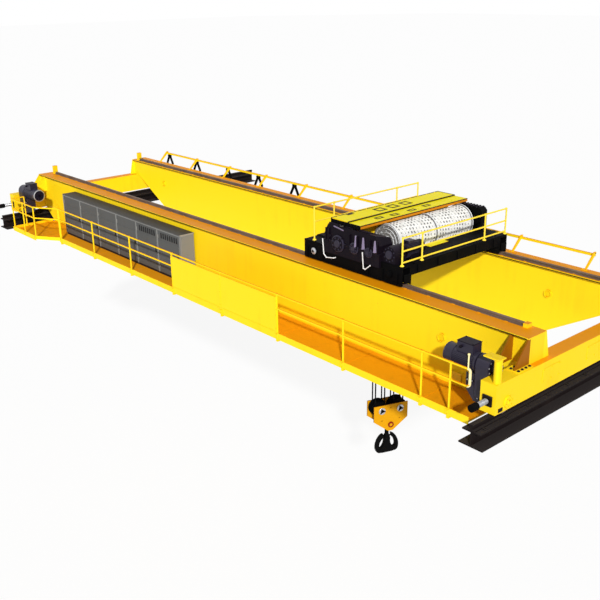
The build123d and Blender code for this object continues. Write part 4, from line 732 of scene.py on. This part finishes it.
# Small box on the front girder's web
box = bmesh.new()
block(box, (19.36, -2.26, 0.24), (19.6, DECK_INNER, 0.46), rim=0.008)
block(box, (19.34, -2.272, 0.44), (19.62, DECK_INNER, 0.465), rim=0.004)
for x in (19.4, 19.56):
    bolt(box, (x, -2.26, 0.4), FRONT, 0.012)
piece("web_junction_box", "bridge", PALE_RAIL, box)

# Electrical cabinets: frame strips, raised door panels, louvres, handles, hinges and the end panel
DOOR_FACE = -2.725
DOOR_COUNT = 6
DOOR_WIDTH = (CABINET_RIGHT - CABINET_LEFT) / DOOR_COUNT
DOOR_LEFTS = [CABINET_LEFT + DOOR_WIDTH * step for step in range(DOOR_COUNT + 1)]
END_PANEL_X = 9.9
strips = bmesh.new()
for x in DOOR_LEFTS:
    block(strips, (x - 0.028, DOOR_FACE - 0.012, 0.2), (x + 0.028, DOOR_FACE, 1.5), rim=0.003)
block(strips, (CABINET_LEFT - 0.02, DOOR_FACE - 0.01, 1.488), (CABINET_RIGHT + 0.02, DOOR_FACE, 1.528), rim=0.003)
block(strips, (END_PANEL_X - 0.014, -2.69, 0.16), (END_PANEL_X, -2.27, 1.5), rim=0.004)
for y in (-2.66, -2.3):
    for z in (0.24, 0.84, 1.44):
        bolt(strips, (END_PANEL_X, y, z), RIGHT, 0.012)
piece("cabinet_frames", "bridge", FRAME_GREY, strips)

panels = bmesh.new()
for x in DOOR_LEFTS[:-1]:
    block(panels, (x + 0.06, DOOR_FACE - 0.007, 0.27), (x + 1.128, DOOR_FACE, 1.2), rim=0.004)
    for z in (0.4, 1.3):
        hinge = Vector((x + 0.045, DOOR_FACE - 0.012, z))
        rod(panels, hinge - Vector((0, 0, 0.06)), hinge + Vector((0, 0, 0.06)), 0.012, rim=0.003)
piece("cabinet_panels", "bridge", GREY, panels)

# Louvres as raised slats painted near black as the shade in their slots; dark door handles; a dark strip along the
# cabinets' foot.
louvres = bmesh.new()
for x in DOOR_LEFTS[4:6]:
    for step in range(8):
        left = x + 0.19 + 0.115 * step
        block(louvres, (left, DOOR_FACE - 0.016, 1.26), (left + 0.055, DOOR_FACE, 1.43), rim=0.007)
for x in DOOR_LEFTS[:-1]:
    block(louvres, (x + 1.06, DOOR_FACE - 0.03, 0.78), (x + 1.1, DOOR_FACE - 0.007, 0.96), rim=0.006)
    rod(louvres, (x + 1.08, DOOR_FACE - 0.01, 0.93), (x + 1.08, DOOR_FACE - 0.05, 0.93), 0.016, rim=0.003)
block(louvres, (CABINET_LEFT + 0.005, -2.712, DECK_TOP), (CABINET_RIGHT - 0.005, -2.7, 0.205), rim=0.003)
piece("cabinet_louvres_and_handles", "bridge", LOUVRE_SHADE_AND_HANDLES, louvres)


# Travel drives: motor fins, fan grille, terminal lid, gearcase bolts and ribs
def finned_motor(mesh, start, axis, radius, near, far, lid_gap):
    """Cooling fins along a motor's barrel, left out within lid_gap of the top."""
    axis = Vector(axis).normalized()
    turn_to = axis.to_track_quat("X", "Z").to_matrix().to_4x4()
    for step in range(36):
        angle = 2 * math.pi * step / 36
        if math.cos(angle) > math.cos(lid_gap):
            continue
        fin = Matrix.Translation((0.0, 0.0, radius + 0.008)) @ Matrix.Diagonal((far - near, 0.008, 0.026, 1.0))
        place = Matrix.Translation(Vector(start) + axis * (near + far) / 2)
        bmesh.ops.create_cube(mesh, size=1.0, matrix=place @ turn_to @ Matrix.Rotation(angle, 4, "X") @ fin)


def fan_grille(mesh, centre, axis, radius):
    """Rings and spokes over the open end of a fan cowl."""
    axis, centre = Vector(axis).normalized(), Vector(centre)
    for share in (0.35, 0.6, 0.85):
        ring = radius * share
        inner, outer = ring - 0.008, ring + 0.008
        turned(mesh, centre, axis, [(inner, 0.0), (inner, 0.012), (outer, 0.012), (outer, 0.0)])
    spoke = axis.orthogonal().normalized()
    for step in range(8):
        out = Matrix.Rotation(math.pi * step / 4, 3, axis) @ spoke
        rod(mesh, centre + out * 0.03 + axis * 0.006, centre + out * radius * 0.93 + axis * 0.006, 0.007, sides=6)
    turned(mesh, centre, axis, [(0.05, 0.0), (0.045, 0.018), (0.0, 0.022)], steps=16)


fins = bmesh.new()
dark = bmesh.new()
light = bmesh.new()
for face, inward, length in ((CARRIAGE_HALF, 1, 0.92), (SPAN - CARRIAGE_HALF, -1, 0.75)):
    start = face + inward * 0.33
    axis = (inward, 0, 0)
    finned_motor(fins, (start, DRIVE_Y, DRIVE_Z), axis, DRIVE_RADIUS, 0.06, length - 0.2, math.radians(48))
    end = start + inward * length
    fan_grille(dark, (end, DRIVE_Y, DRIVE_Z), axis, DRIVE_RADIUS)
    turned(
        light if inward > 0 else fins,
        (end, DRIVE_Y, DRIVE_Z),
        axis,
        [(0.2, -0.014), (0.205, -0.008), (0.205, 0.006), (0.18, 0.012), (0.176, 0.004)],
        steps=32,
    )
    # Terminal box lid with its screws, cable gland at its side
    middle = start + inward * (length - 0.19) / 2
    top = TERMINAL_TOP + 0.017
    block(dark, (middle - 0.2, DRIVE_Y - 0.145, TERMINAL_TOP), (middle + 0.2, DRIVE_Y + 0.145, top), rim=0.005)
    for shift in (-0.17, 0.17):
        for y in (DRIVE_Y - 0.115, DRIVE_Y + 0.115):
            bolt(dark, (middle + shift, y, top), UP, 0.011)
    rod(dark, (middle - 0.08, -3.135, 1.57), (middle - 0.08, -3.19, 1.57), 0.03, sides=10, rim=0.006)
    # Lower gearcase: split flange, ribs, plugs
    low, high = sorted((face, face + inward * 0.53))
    flange, rib = GEARCASE_FRONT - 0.018, GEARCASE_FRONT - 0.016
    block(dark, (low, flange, 0.93), (high, GEARCASE_FRONT, 0.965), rim=0.004)
    for step in range(5):
        bolt(light, (face + inward * (0.06 + 0.105 * step), flange, 0.947), FRONT, 0.013)
    for step in range(3):
        x = face + inward * (0.1 + 0.17 * step)
        block(dark, (x - 0.009, rib, 0.965), (x + 0.009, GEARCASE_FRONT, 1.09), rim=0.003)
        block(dark, (x - 0.009, rib, 0.7 + 0.04 * step), (x + 0.009, GEARCASE_FRONT, 0.93), rim=0.003)
    x = face + inward * 0.2
    lid = [(0.12, 0.0), (0.11, 0.02), (0.05, 0.026), (0.0, 0.026)]
    turned(dark, (x, GEARCASE_FRONT, 0.72), FRONT, lid)
    bolt_ring(light, (x, GEARCASE_FRONT - 0.02, 0.72), FRONT, 0.09, 6, 0.011)
    # Upper stage: cap with its bolts, over the carriage
    cap = face - inward * 0.11
    outward = (-inward, 0, 0)
    lid = [(0.118, -0.03), (0.118, 0.012), (0.06, 0.02), (0.0, 0.02)]
    turned(dark, (cap, DRIVE_Y, DRIVE_Z), outward, lid)
    bolt_ring(light, (cap - inward * 0.012, DRIVE_Y, DRIVE_Z), outward, 0.09, 8, 0.011)
    bolt_ring(light, (face + inward * 0.002, DRIVE_Y, DRIVE_Z), outward, 0.165, 10, 0.013)
piece("motor_fins", "bridge", SLATE, fins)
piece("drive_ribs_lids_and_grilles", "bridge", DULL, dark)
piece("drive_bolts_and_rings", "bridge", BRIGHT, light)

# Festoon: cable saddles under the track, bracket foot bolts and track end stops
FESTOON_Y = 2.5735
SADDLE_XS = (1.3, 3.15, 5.1, 6.85, 8.75)
BRACKET_XS = [1.14 + 18.49 / 9 * step for step in range(10)]
saddles = bmesh.new()
for x in SADDLE_XS:
    block(saddles, (x - 0.07, FESTOON_Y - 0.05, 1.9), (x + 0.07, FESTOON_Y + 0.05, 2.0), rim=0.012)
    for side in (-1, 1):
        rod(saddles, (x + side * 0.02, FESTOON_Y, 1.96), (x + side * 0.2, FESTOON_Y, 1.64), 0.042, sides=8, rim=0.01)
for x in (1.12, 19.61):
    block(saddles, (x, FESTOON_Y - 0.03, 2.06), (x + 0.04, FESTOON_Y + 0.03, 2.09), rim=0.005)
piece("cable_saddles", "bridge", RUBBER, saddles)

bracket_bolts = bmesh.new()
top = GIRDER_TOP + 0.012
for x in BRACKET_XS:
    block(bracket_bolts, (x - 0.07, 2.14, GIRDER_TOP), (x + 0.07, 2.2, top), rim=0.003)
    for shift in (-0.045, 0.045):
        bolt(bracket_bolts, (x + shift, 2.17, top), UP, 0.012)
piece("bracket_feet", "bridge", YELLOW, bracket_bolts)

# Trolley frame: ribs and bolts on the front side, hub caps, rubber end pads, deck treads
ribs = bmesh.new()
for x in (14.45, 15.0, 16.55, 17.0, 17.45):
    block(ribs, (x - 0.012, FRAME_FRONT - 0.03, 1.82), (x + 0.012, FRAME_FRONT, 2.08), rim=0.003)
block(ribs, (TROLLEY_LEFT + 0.02, FRAME_FRONT - 0.02, 1.8), (TROLLEY_RIGHT - 0.02, FRAME_FRONT, 1.83), rim=0.004)
for step in range(18):
    x = 14.42 + 0.182 * step
    bolt(ribs, (x, FRAME_FRONT, 1.87), FRONT, 0.014)
hub_middle = [(0.036, -0.004), (0.032, 0.006), (0.0, 0.006)]
for y, out in ((-1.997, -1), (1.997, 1)):
    turned(ribs, (TROLLEY_WHEEL_XS[0], y, TROLLEY_AXLE_Z), (0, out, 0), hub_middle, steps=14)
for y in (-1.4, -0.7, 0.0, 0.7, 1.4):
    block(ribs, (TROLLEY_RIGHT, y - 0.012, 2.02), (TROLLEY_RIGHT + 0.022, y + 0.012, 2.22), rim=0.003)
    block(ribs, (TROLLEY_LEFT - 0.022, y - 0.012, 2.02), (TROLLEY_LEFT, y + 0.012, 2.22), rim=0.003)
piece("trolley_frame_ribs", "trolley", BLACK, ribs)

pads = bmesh.new()
for y in RAIL_YS:
    block(pads, (TROLLEY_RIGHT, y - 0.1, 1.86), (TROLLEY_RIGHT + 0.05, y + 0.1, 2.06), rim=0.012)
    block(pads, (TROLLEY_LEFT - 0.05, y - 0.1, 1.86), (TROLLEY_LEFT, y + 0.1, 2.06), rim=0.012)
piece("trolley_end_pads", "trolley", RUBBER, pads)

hub_cap = [(0.082, 0.0), (0.082, 0.018), (0.045, 0.026), (0.04, 0.04), (0.0, 0.042)]
for x, name, slot, finish in (
    (TROLLEY_WHEEL_XS[0], "wheel_hub_caps_left", "bright_steel", BRIGHT),
    (TROLLEY_WHEEL_XS[1], "wheel_hub_caps_right", "black_paint", BLACK),
):
    hubs = bmesh.new()
    for y, out in ((-1.955, -1), (1.955, 1)):
        turned(hubs, (x, y, TROLLEY_AXLE_Z), (0, out, 0), hub_cap)
        bolt_ring(hubs, (x, y + out * 0.02, TROLLEY_AXLE_Z), (0, out, 0), 0.062, 6, 0.01)
    piece(name, "trolley", finish, hubs)

treads = bmesh.new()
tread_top = TROLLEY_DECK_TOP + TREAD_THICKNESS
for low, high in (((14.35, -1.49), (15.01, 1.91)), ((16.8, -0.84), (17.5, 1.6)), ((17.34, -1.49), (17.5, -0.86))):
    block(treads, (*low, TROLLEY_DECK_TOP), (*high, tread_top), rim=0.002)
piece("trolley_treads", "trolley", BLACK, treads)

plate = bmesh.new()
top = tread_top + 0.008
block(plate, (16.81, -0.32, tread_top), (17.02, 0.35, top), rim=0.002)
for y in (-0.28, 0.31):
    for x in (16.84, 16.99):
        bolt(plate, (x, y, top), UP, 0.011)
piece("deck_yellow_plate", "trolley", COVER, plate)

# Hoist gearbox: cap and flange bolts, inspection blocks, lugs, ribs painted pale as highlights, bent pipes
GEARBOX_LEFT, GEARBOX_LENGTH = 15.135, 1.8
GEARBOX_FRONT = -1.99
CAP_DEPTH = 0.045
SPLIT_Z = 2.39
bolts = bmesh.new()
for share, radius in ((0.26, 0.174), (0.56, 0.11), (0.82, 0.087)):
    x = GEARBOX_LEFT + share * GEARBOX_LENGTH
    centre = (x, GEARBOX_FRONT - CAP_DEPTH, SPLIT_Z)
    bolt_ring(bolts, centre, FRONT, radius * 0.8, 8, 0.017)
    collar = [(radius + 0.03, 0.0), (radius + 0.03, -0.025), (radius + 0.018, -0.035), (radius - 0.004, -0.035)]
    turned(bolts, (x, GEARBOX_FRONT, SPLIT_Z), REAR, collar, steps=28)
    turned(bolts, centre, FRONT, [(radius * 0.55, 0.0), (radius * 0.5, 0.018), (0.0, 0.022)], steps=20)
for step in range(14):
    x = GEARBOX_LEFT + 0.05 + (GEARBOX_LENGTH - 0.1) / 13 * step
    bolt(bolts, (x, GEARBOX_FRONT - 0.013, SPLIT_Z + 0.03), UP, 0.013)
bell = (HOIST_MOTOR_X, -1.9, HOIST_MOTOR_Z)
bolt_ring(bolts, bell, FRONT, 0.155, 10, 0.014)
turned(bolts, bell, FRONT, [(0.1, 0.0), (0.095, 0.03), (0.05, 0.035), (0.0, 0.035)])
piece("gearbox_bolts", "trolley", SLATE, bolts)

lumps = bmesh.new()
block(lumps, (15.27, -1.985, 2.6), (15.55, -1.955, 2.86), rim=0.012)
for left, right, top in ((15.3, 15.62, 2.855), (15.8, 16.05, 2.845), (16.25, 16.6, 2.85)):
    block(lumps, (left, -1.97, 2.78), (right, -1.945, top), rim=0.008)
for x in (15.2, 15.3, 16.9):
    block(lumps, (x - 0.012, -2.03, 2.42), (x + 0.012, GEARBOX_FRONT, 2.72), rim=0.004)
for x in (15.32, 15.72, 16.42, 16.74):
    block(lumps, (x - 0.035, -2.022, 2.5), (x + 0.035, GEARBOX_FRONT, 2.56), rim=0.008)
for x in (16.35, 16.42, 16.49, 16.56):
    rod(lumps, (x, -1.93, 2.78), (x, -1.93, 2.852), 0.02, sides=10, rim=0.004)
piece("gearbox_lugs", "trolley", DULL, lumps)

# Ribs and a short bar on the gearbox's front, painted pale lilac as highlights.
ribs = bmesh.new()
for x in (16.2, 16.44, 16.81):
    rod(ribs, (x, -2.005, 2.44), (x, -2.005, 2.71), 0.055, sides=4, far_radius=0.026, rim=0.004)
rod(ribs, (15.45, -1.985, 2.79), (15.78, -1.985, 2.74), 0.018, sides=8, rim=0.004)
piece("gearbox_rib_highlights", "trolley", LILAC_HIGHLIGHT, ribs)


def bent_pipe(mesh, points, radius):
    """A pipe of straight lengths with a round elbow at each corner."""
    for start, end in zip(points, points[1:]):
        rod(mesh, start, end, radius, sides=10, rim=radius / 5)
    for point in points[1:-1]:
        bmesh.ops.create_icosphere(mesh, subdivisions=2, radius=radius * 1.25, matrix=Matrix.Translation(point))


pipes = bmesh.new()
for points in (
    [(15.1, -2.03, 2.42), (15.11, -2.0, 2.03), (15.2, -2.0, 1.96), (15.45, -2.0, 2.0), (15.45, -1.93, 2.0)],
    [(16.46, -2.05, 2.38), (16.45, -2.0, 1.98), (16.51, -2.0, 1.97), (16.66, -2.0, 2.09), (16.66, -1.93, 2.09)],
):
    bent_pipe(pipes, points, 0.014)
piece("gearbox_pipes", "trolley", PIPE, pipes)

# Drum: rope turns on both halves, ringed end faces with bolts
DRUM_HALVES = ((-1.085, 0.215), (0.255, 1.565))
TURNS_PER_HALF = 26
turns = bmesh.new()
for low, high in DRUM_HALVES:
    start, length = (DRUM_X, low + 0.012, DRUM_Z), high - low - 0.024
    coil(turns, start, REAR, 0.387, length, TURNS_PER_HALF, 0.017, steps=32, sides=6)
piece("drum_rope_turns", "drum", WOUND, turns)

ends = bmesh.new()
for y, out in ((-1.12, -1), (1.6, 1)):
    centre, axis = (DRUM_X, y, DRUM_Z), (0, out, 0)
    for radius in (0.385, 0.29, 0.2):
        profile = [(radius - 0.02, 0.0), (radius - 0.016, 0.012), (radius + 0.016, 0.012), (radius + 0.02, 0.0)]
        turned(ends, centre, axis, profile, steps=36)
    turned(ends, centre, axis, [(0.13, 0.0), (0.12, 0.03), (0.085, 0.034), (0.08, 0.0)], steps=24)
    bolt_ring(ends, centre, axis, 0.245, 10, 0.016)
    bolt_ring(ends, centre, axis, 0.345, 14, 0.012)
flange = [(0.42, -0.02), (0.428, -0.016), (0.43, 0.0), (0.428, 0.016), (0.42, 0.02)]
for y in (-1.105, 0.235, 1.585):
    turned(ends, (DRUM_X, y, DRUM_Z), REAR, flange, steps=40)
piece("drum_rings", "drum", DRUM, ends)

# Far bearing: serrated top, cap seam and bolts
serration = bmesh.new()
for step in range(8):
    x = 16.19 + 0.095 * step
    block(serration, (x, 1.67, 2.84), (x + 0.045, 1.86, 2.868), rim=0.005)
for x in (16.16, 16.92):
    for y in (1.71, 1.82):
        bolt(serration, (x, y, 2.77), UP, 0.02)
for y, out in ((1.65, -1), (1.88, 1)):
    turned(serration, (DRUM_X, y, DRUM_Z), (0, out, 0), [(0.17, 0.0), (0.16, 0.02), (0.09, 0.026), (0.085, 0.0)])
    bolt_ring(serration, (DRUM_X, y + out * 0.02, DRUM_Z), (0, out, 0), 0.125, 8, 0.013)
piece("bearing_serration", "trolley", DULL, serration)

# Hoist motor fins and fan grille
fins = bmesh.new()
finned_motor(fins, (HOIST_MOTOR_X, -1.56, HOIST_MOTOR_Z), REAR, 0.165, 0.1, 0.55, math.radians(25))
fan_grille(fins, (HOIST_MOTOR_X, -0.86, HOIST_MOTOR_Z), REAR, 0.16)
block(fins, (17.06, -1.35, 2.6), (17.25, -1.13, 2.665), rim=0.008)
piece("hoist_motor_fins", "trolley", SLATE, fins)

# Cover: dark seams, three framed hatches on the left strip, four slots on the right one, edge screws
COVER_LEFT, COVER_STEP, COVER_RIGHT = 15.295, 15.855, 16.285
COVER_FRONT, COVER_REAR = -1.93, 1.95
LEFT_TOP, RIGHT_TOP = 2.96, 2.935
seams = bmesh.new()
low, high = RIGHT_TOP - 0.015, LEFT_TOP + 0.0035
block(seams, (COVER_STEP - 0.006, COVER_FRONT, RIGHT_TOP), (COVER_STEP + 0.022, COVER_REAR, high), rim=0.002)
block(seams, (COVER_LEFT - 0.006, COVER_FRONT, low), (COVER_LEFT + 0.036, COVER_REAR, high), rim=0.002)
edge = RIGHT_TOP + 0.0035
block(seams, (COVER_RIGHT - 0.016, COVER_FRONT, low), (COVER_RIGHT + 0.006, COVER_REAR, edge), rim=0.002)
block(seams, (COVER_LEFT, COVER_REAR - 0.03, low), (COVER_STEP, COVER_REAR + 0.005, high), rim=0.002)
low, high = LEFT_TOP - 0.005, LEFT_TOP + 0.005
for y in (-0.7, -0.24, 0.22):
    for x in (15.45, 15.66):
        block(seams, (x, y, low), (x + 0.05, y + 0.28, high), rim=0.003)
    for shift in (0.0, 0.23):
        block(seams, (15.45, y + shift, low), (15.71, y + shift + 0.05, high), rim=0.003)
block(seams, (15.34, -1.5, low), (15.44, -1.3, high), rim=0.003)
low, high = RIGHT_TOP - 0.005, RIGHT_TOP + 0.006
for x, y in ((15.98, -1.2), (16.03, -0.72), (16.03, -0.1), (15.98, 0.5)):
    for shift in (0.0, 0.1):
        block(seams, (x + shift, y, low), (x + shift + 0.035, y + 0.24, high), rim=0.004)
    for shift in (0.0, 0.2):
        block(seams, (x, y + shift, low), (x + 0.135, y + shift + 0.04, high), rim=0.004)
piece("cover_seams", "trolley", SEAM_AND_SHADE_LINE, seams)

screws = bmesh.new()
for step in range(12):
    y = -1.75 + 0.32 * step
    for x, top in ((15.34, LEFT_TOP), (15.82, LEFT_TOP), (16.25, RIGHT_TOP)):
        bolt(screws, (x, y, top), UP, 0.012)
piece("cover_screws", "trolley", COVER, screws)

trim = bmesh.new()
strip = COVER_FRONT - 0.016
block(trim, (COVER_LEFT, strip, 2.845), (COVER_RIGHT, COVER_FRONT, 2.94), rim=0.004)
for step in range(9):
    x = 15.31 + 0.11 * step
    block(trim, (x, strip - 0.014, 2.83), (x + 0.05, strip, 2.93), rim=0.004)
piece("cover_front_trim", "trolley", BLACK, trim)

# Sleeves where the trolley's rails cross their posts
sleeves = bmesh.new()
post_foot = [(0.018, 0.04), (0.028, 0.036), (0.05, 0.008), (0.05, 0.0)]
for x, heights in ((14.655, (0.83, 0.47)), (17.54, (0.645, 0.34))):
    for y in (-1.89, -1.2285, 1.0584, 1.89):
        for height in heights:
            z = TROLLEY_DECK_TOP + height
            rod(sleeves, (x, max(y - 0.04, -1.9), z), (x, min(y + 0.04, 1.9), z), 0.026, sides=10, rim=0.004)
        turned(sleeves, (x, y, TROLLEY_DECK_TOP), UP, post_foot, steps=10)
piece("trolley_rail_sleeves", "trolley", PALE_RAIL, sleeves)


# Hook block: pin keepers, plate bolts, red lock plates, spacer rods
def on_block(along, down, across):
    """A point of the hook block, from its own directions."""
    return BLOCK_PLACE + BLOCK_ALONG * along + BLOCK_ACROSS * across - Vector(UP) * down


PIN_ALONGS, PIN_DROP, PIN_END = (-0.27, 0.27), 0.15, 0.24
SPACER_ALONGS, SPACER_DROP = (-0.26, 0.26), 0.46
keepers = bmesh.new()
hollows = bmesh.new()
locks = bmesh.new()
spacers = bmesh.new()
for side in (-1, 1):
    axis = BLOCK_ACROSS * side
    for along in PIN_ALONGS:
        centre = on_block(along, PIN_DROP, side * PIN_END)
        turned(keepers, centre, axis, [(0.098, -0.02), (0.098, 0.008), (0.09, 0.014), (0.05, 0.014), (0.05, 0.0)])
        turned(hollows, centre, axis, [(0.05, 0.004), (0.03, 0.01), (0.026, 0.018), (0.0, 0.018)])
        for turn in (20, 140, 260):
            spoke = Matrix.Rotation(math.radians(turn), 3, axis) @ Vector((0.0, 0.0, 0.066))
            bolt(hollows, centre + spoke + axis * 0.014, axis, 0.016)
    centre = on_block(0.0, 0.6, side * PIN_END)
    turned(locks, centre, axis, [(0.082, -0.02), (0.082, 0.008), (0.076, 0.012), (0.046, 0.012), (0.04, 0.0)])
    turned(spacers, centre, axis, [(0.042, 0.0), (0.042, 0.008), (0.0, 0.01)], steps=16)
    for along, down in (*((along, SPACER_DROP) for along in SPACER_ALONGS), (0.0, 0.1)):
        bolt(spacers, on_block(along, down, side * 0.22), axis, 0.018)
for along in SPACER_ALONGS:
    near, far = on_block(along, SPACER_DROP, -0.19), on_block(along, SPACER_DROP, 0.19)
    rod(spacers, near, far, 0.022, sides=10, rim=0.003)
piece("block_pin_rings", "hook_block", BRIGHT, keepers)
piece("block_pin_bolts", "hook_block", FORGED, hollows)
piece("block_lock_rings", "hook_block", LOCK, locks)
piece("block_spacers", "hook_block", AMBER, spacers)

# Hook as a rounded forging, from its solid
solid = bmesh.new()
solid.from_mesh(nodes["ramshorn_hook"].data)
bmesh.ops.remove_doubles(solid, verts=solid.verts, dist=1e-5)
solid.normal_update()
HOOK_SHOULDER_Z = -3.24
SMOOTHING_LOSS = 0.014
for vert in solid.verts:
    if vert.co.z < HOOK_SHOULDER_Z:
        vert.co += vert.normal * SMOOTHING_LOSS
forging = loose_piece("hook_forging", FORGED, solid)
rounding = forging.modifiers.new("rounding", "REMESH")
rounding.mode = "VOXEL"
rounding.voxel_size = 0.012
softening = forging.modifiers.new("softening", "SMOOTH")
softening.factor = 0.5
softening.iterations = 28
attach(forging, "hook")
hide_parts("ramshorn_hook")

# Rope falls of six strands each, from the block's sheaves up to the trolley's sheaves and to the drum
UPPER_SHEAVE_Z = 2.56
DRUM_TANGENT = Vector((DRUM_X - 0.41, 0.24, DRUM_Z))
FALL_ALONGS = (-0.405, -0.135, 0.135, 0.405)
STRAND_COUNT, STRAND_RADIUS = 6, 0.0078
LAY_RADIUS, LAY_TURNS = 0.0118, 16
strands = bmesh.new()
for along in FALL_ALONGS:
    for side in (-1, 1):
        foot = on_block(along, PIN_DROP, side * 0.09)
        head = Vector((foot.x, foot.y, UPPER_SHEAVE_Z))
        if along == FALL_ALONGS[-1]:
            head = DRUM_TANGENT + Vector((0.0, side * 0.06, 0.0))
        run = head - foot
        for strand in range(STRAND_COUNT):
            coil(
                strands,
                foot,
                run,
                LAY_RADIUS,
                run.length,
                LAY_TURNS,
                STRAND_RADIUS,
                steps=8,
                sides=5,
                from_angle=2 * math.pi / STRAND_COUNT * strand,
            )
ropes = loose_piece("rope_falls", ROPE, strands)
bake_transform(ropes)
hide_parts("hoist_ropes")

# White floor far below the runways, seen almost without shading
WHITE = (1.0, 1.0, 1.0, 1.0)
FLOOR_Z = -8.4
floor = bpy.data.objects.new("floor", bpy.data.meshes.new("floor"))
sheet = bmesh.new()
bmesh.ops.create_grid(sheet, x_segments=1, y_segments=1, size=400.0)
bmesh.ops.translate(sheet, verts=sheet.verts, vec=(10.0, 0.0, FLOOR_Z))
sheet.to_mesh(floor.data)
sheet.free()
bpy.context.scene.collection.objects.link(floor)
floor_finish = bpy.data.materials.new("floor_white")
floor_finish.use_nodes = True
tree = floor_finish.node_tree
start = Wire(tree, None)
seen = start.node("ShaderNodeLightPath", out="Is Camera Ray")
glow = start.node("ShaderNodeEmission", inputs={"Color": WHITE, "Strength": 1.0})
pale = start.node("ShaderNodeBsdfDiffuse", inputs={"Color": WHITE})
both = start.node("ShaderNodeMixShader", inputs={0: seen * 0.9, 1: pale, 2: glow})
tree.links.new(both.socket, tree.nodes["Material Output"].inputs["Surface"])
floor.data.materials.append(floor_finish)

# White surroundings, dimmer as a light than they look, and one sun
world = bpy.data.worlds.new("studio")
bpy.context.scene.world = world
world.use_nodes = True
sky = Wire(world.node_tree, None)
shown = sky.node("ShaderNodeLightPath", out="Is Camera Ray") + sky.node("ShaderNodeLightPath", out="Is Glossy Ray")
background = world.node_tree.nodes["Background"]
background.inputs["Color"].default_value = WHITE
AMBIENT = 0.24
level = sky.math("MINIMUM", shown, 1.0) * (1.0 - AMBIENT) + AMBIENT
world.node_tree.links.new(level.socket, background.inputs["Strength"])

sun = bpy.data.objects.new("key_light", bpy.data.lights.new("key_light", "SUN"))
bpy.context.scene.collection.objects.link(sun)
sun.data.energy = 3.7
sun.data.angle = math.radians(2.5)
SUN_TRAVEL = Vector((-0.674, 0.562, -0.478))
sun.rotation_euler = SUN_TRAVEL.to_track_quat("-Z", "Y").to_euler()
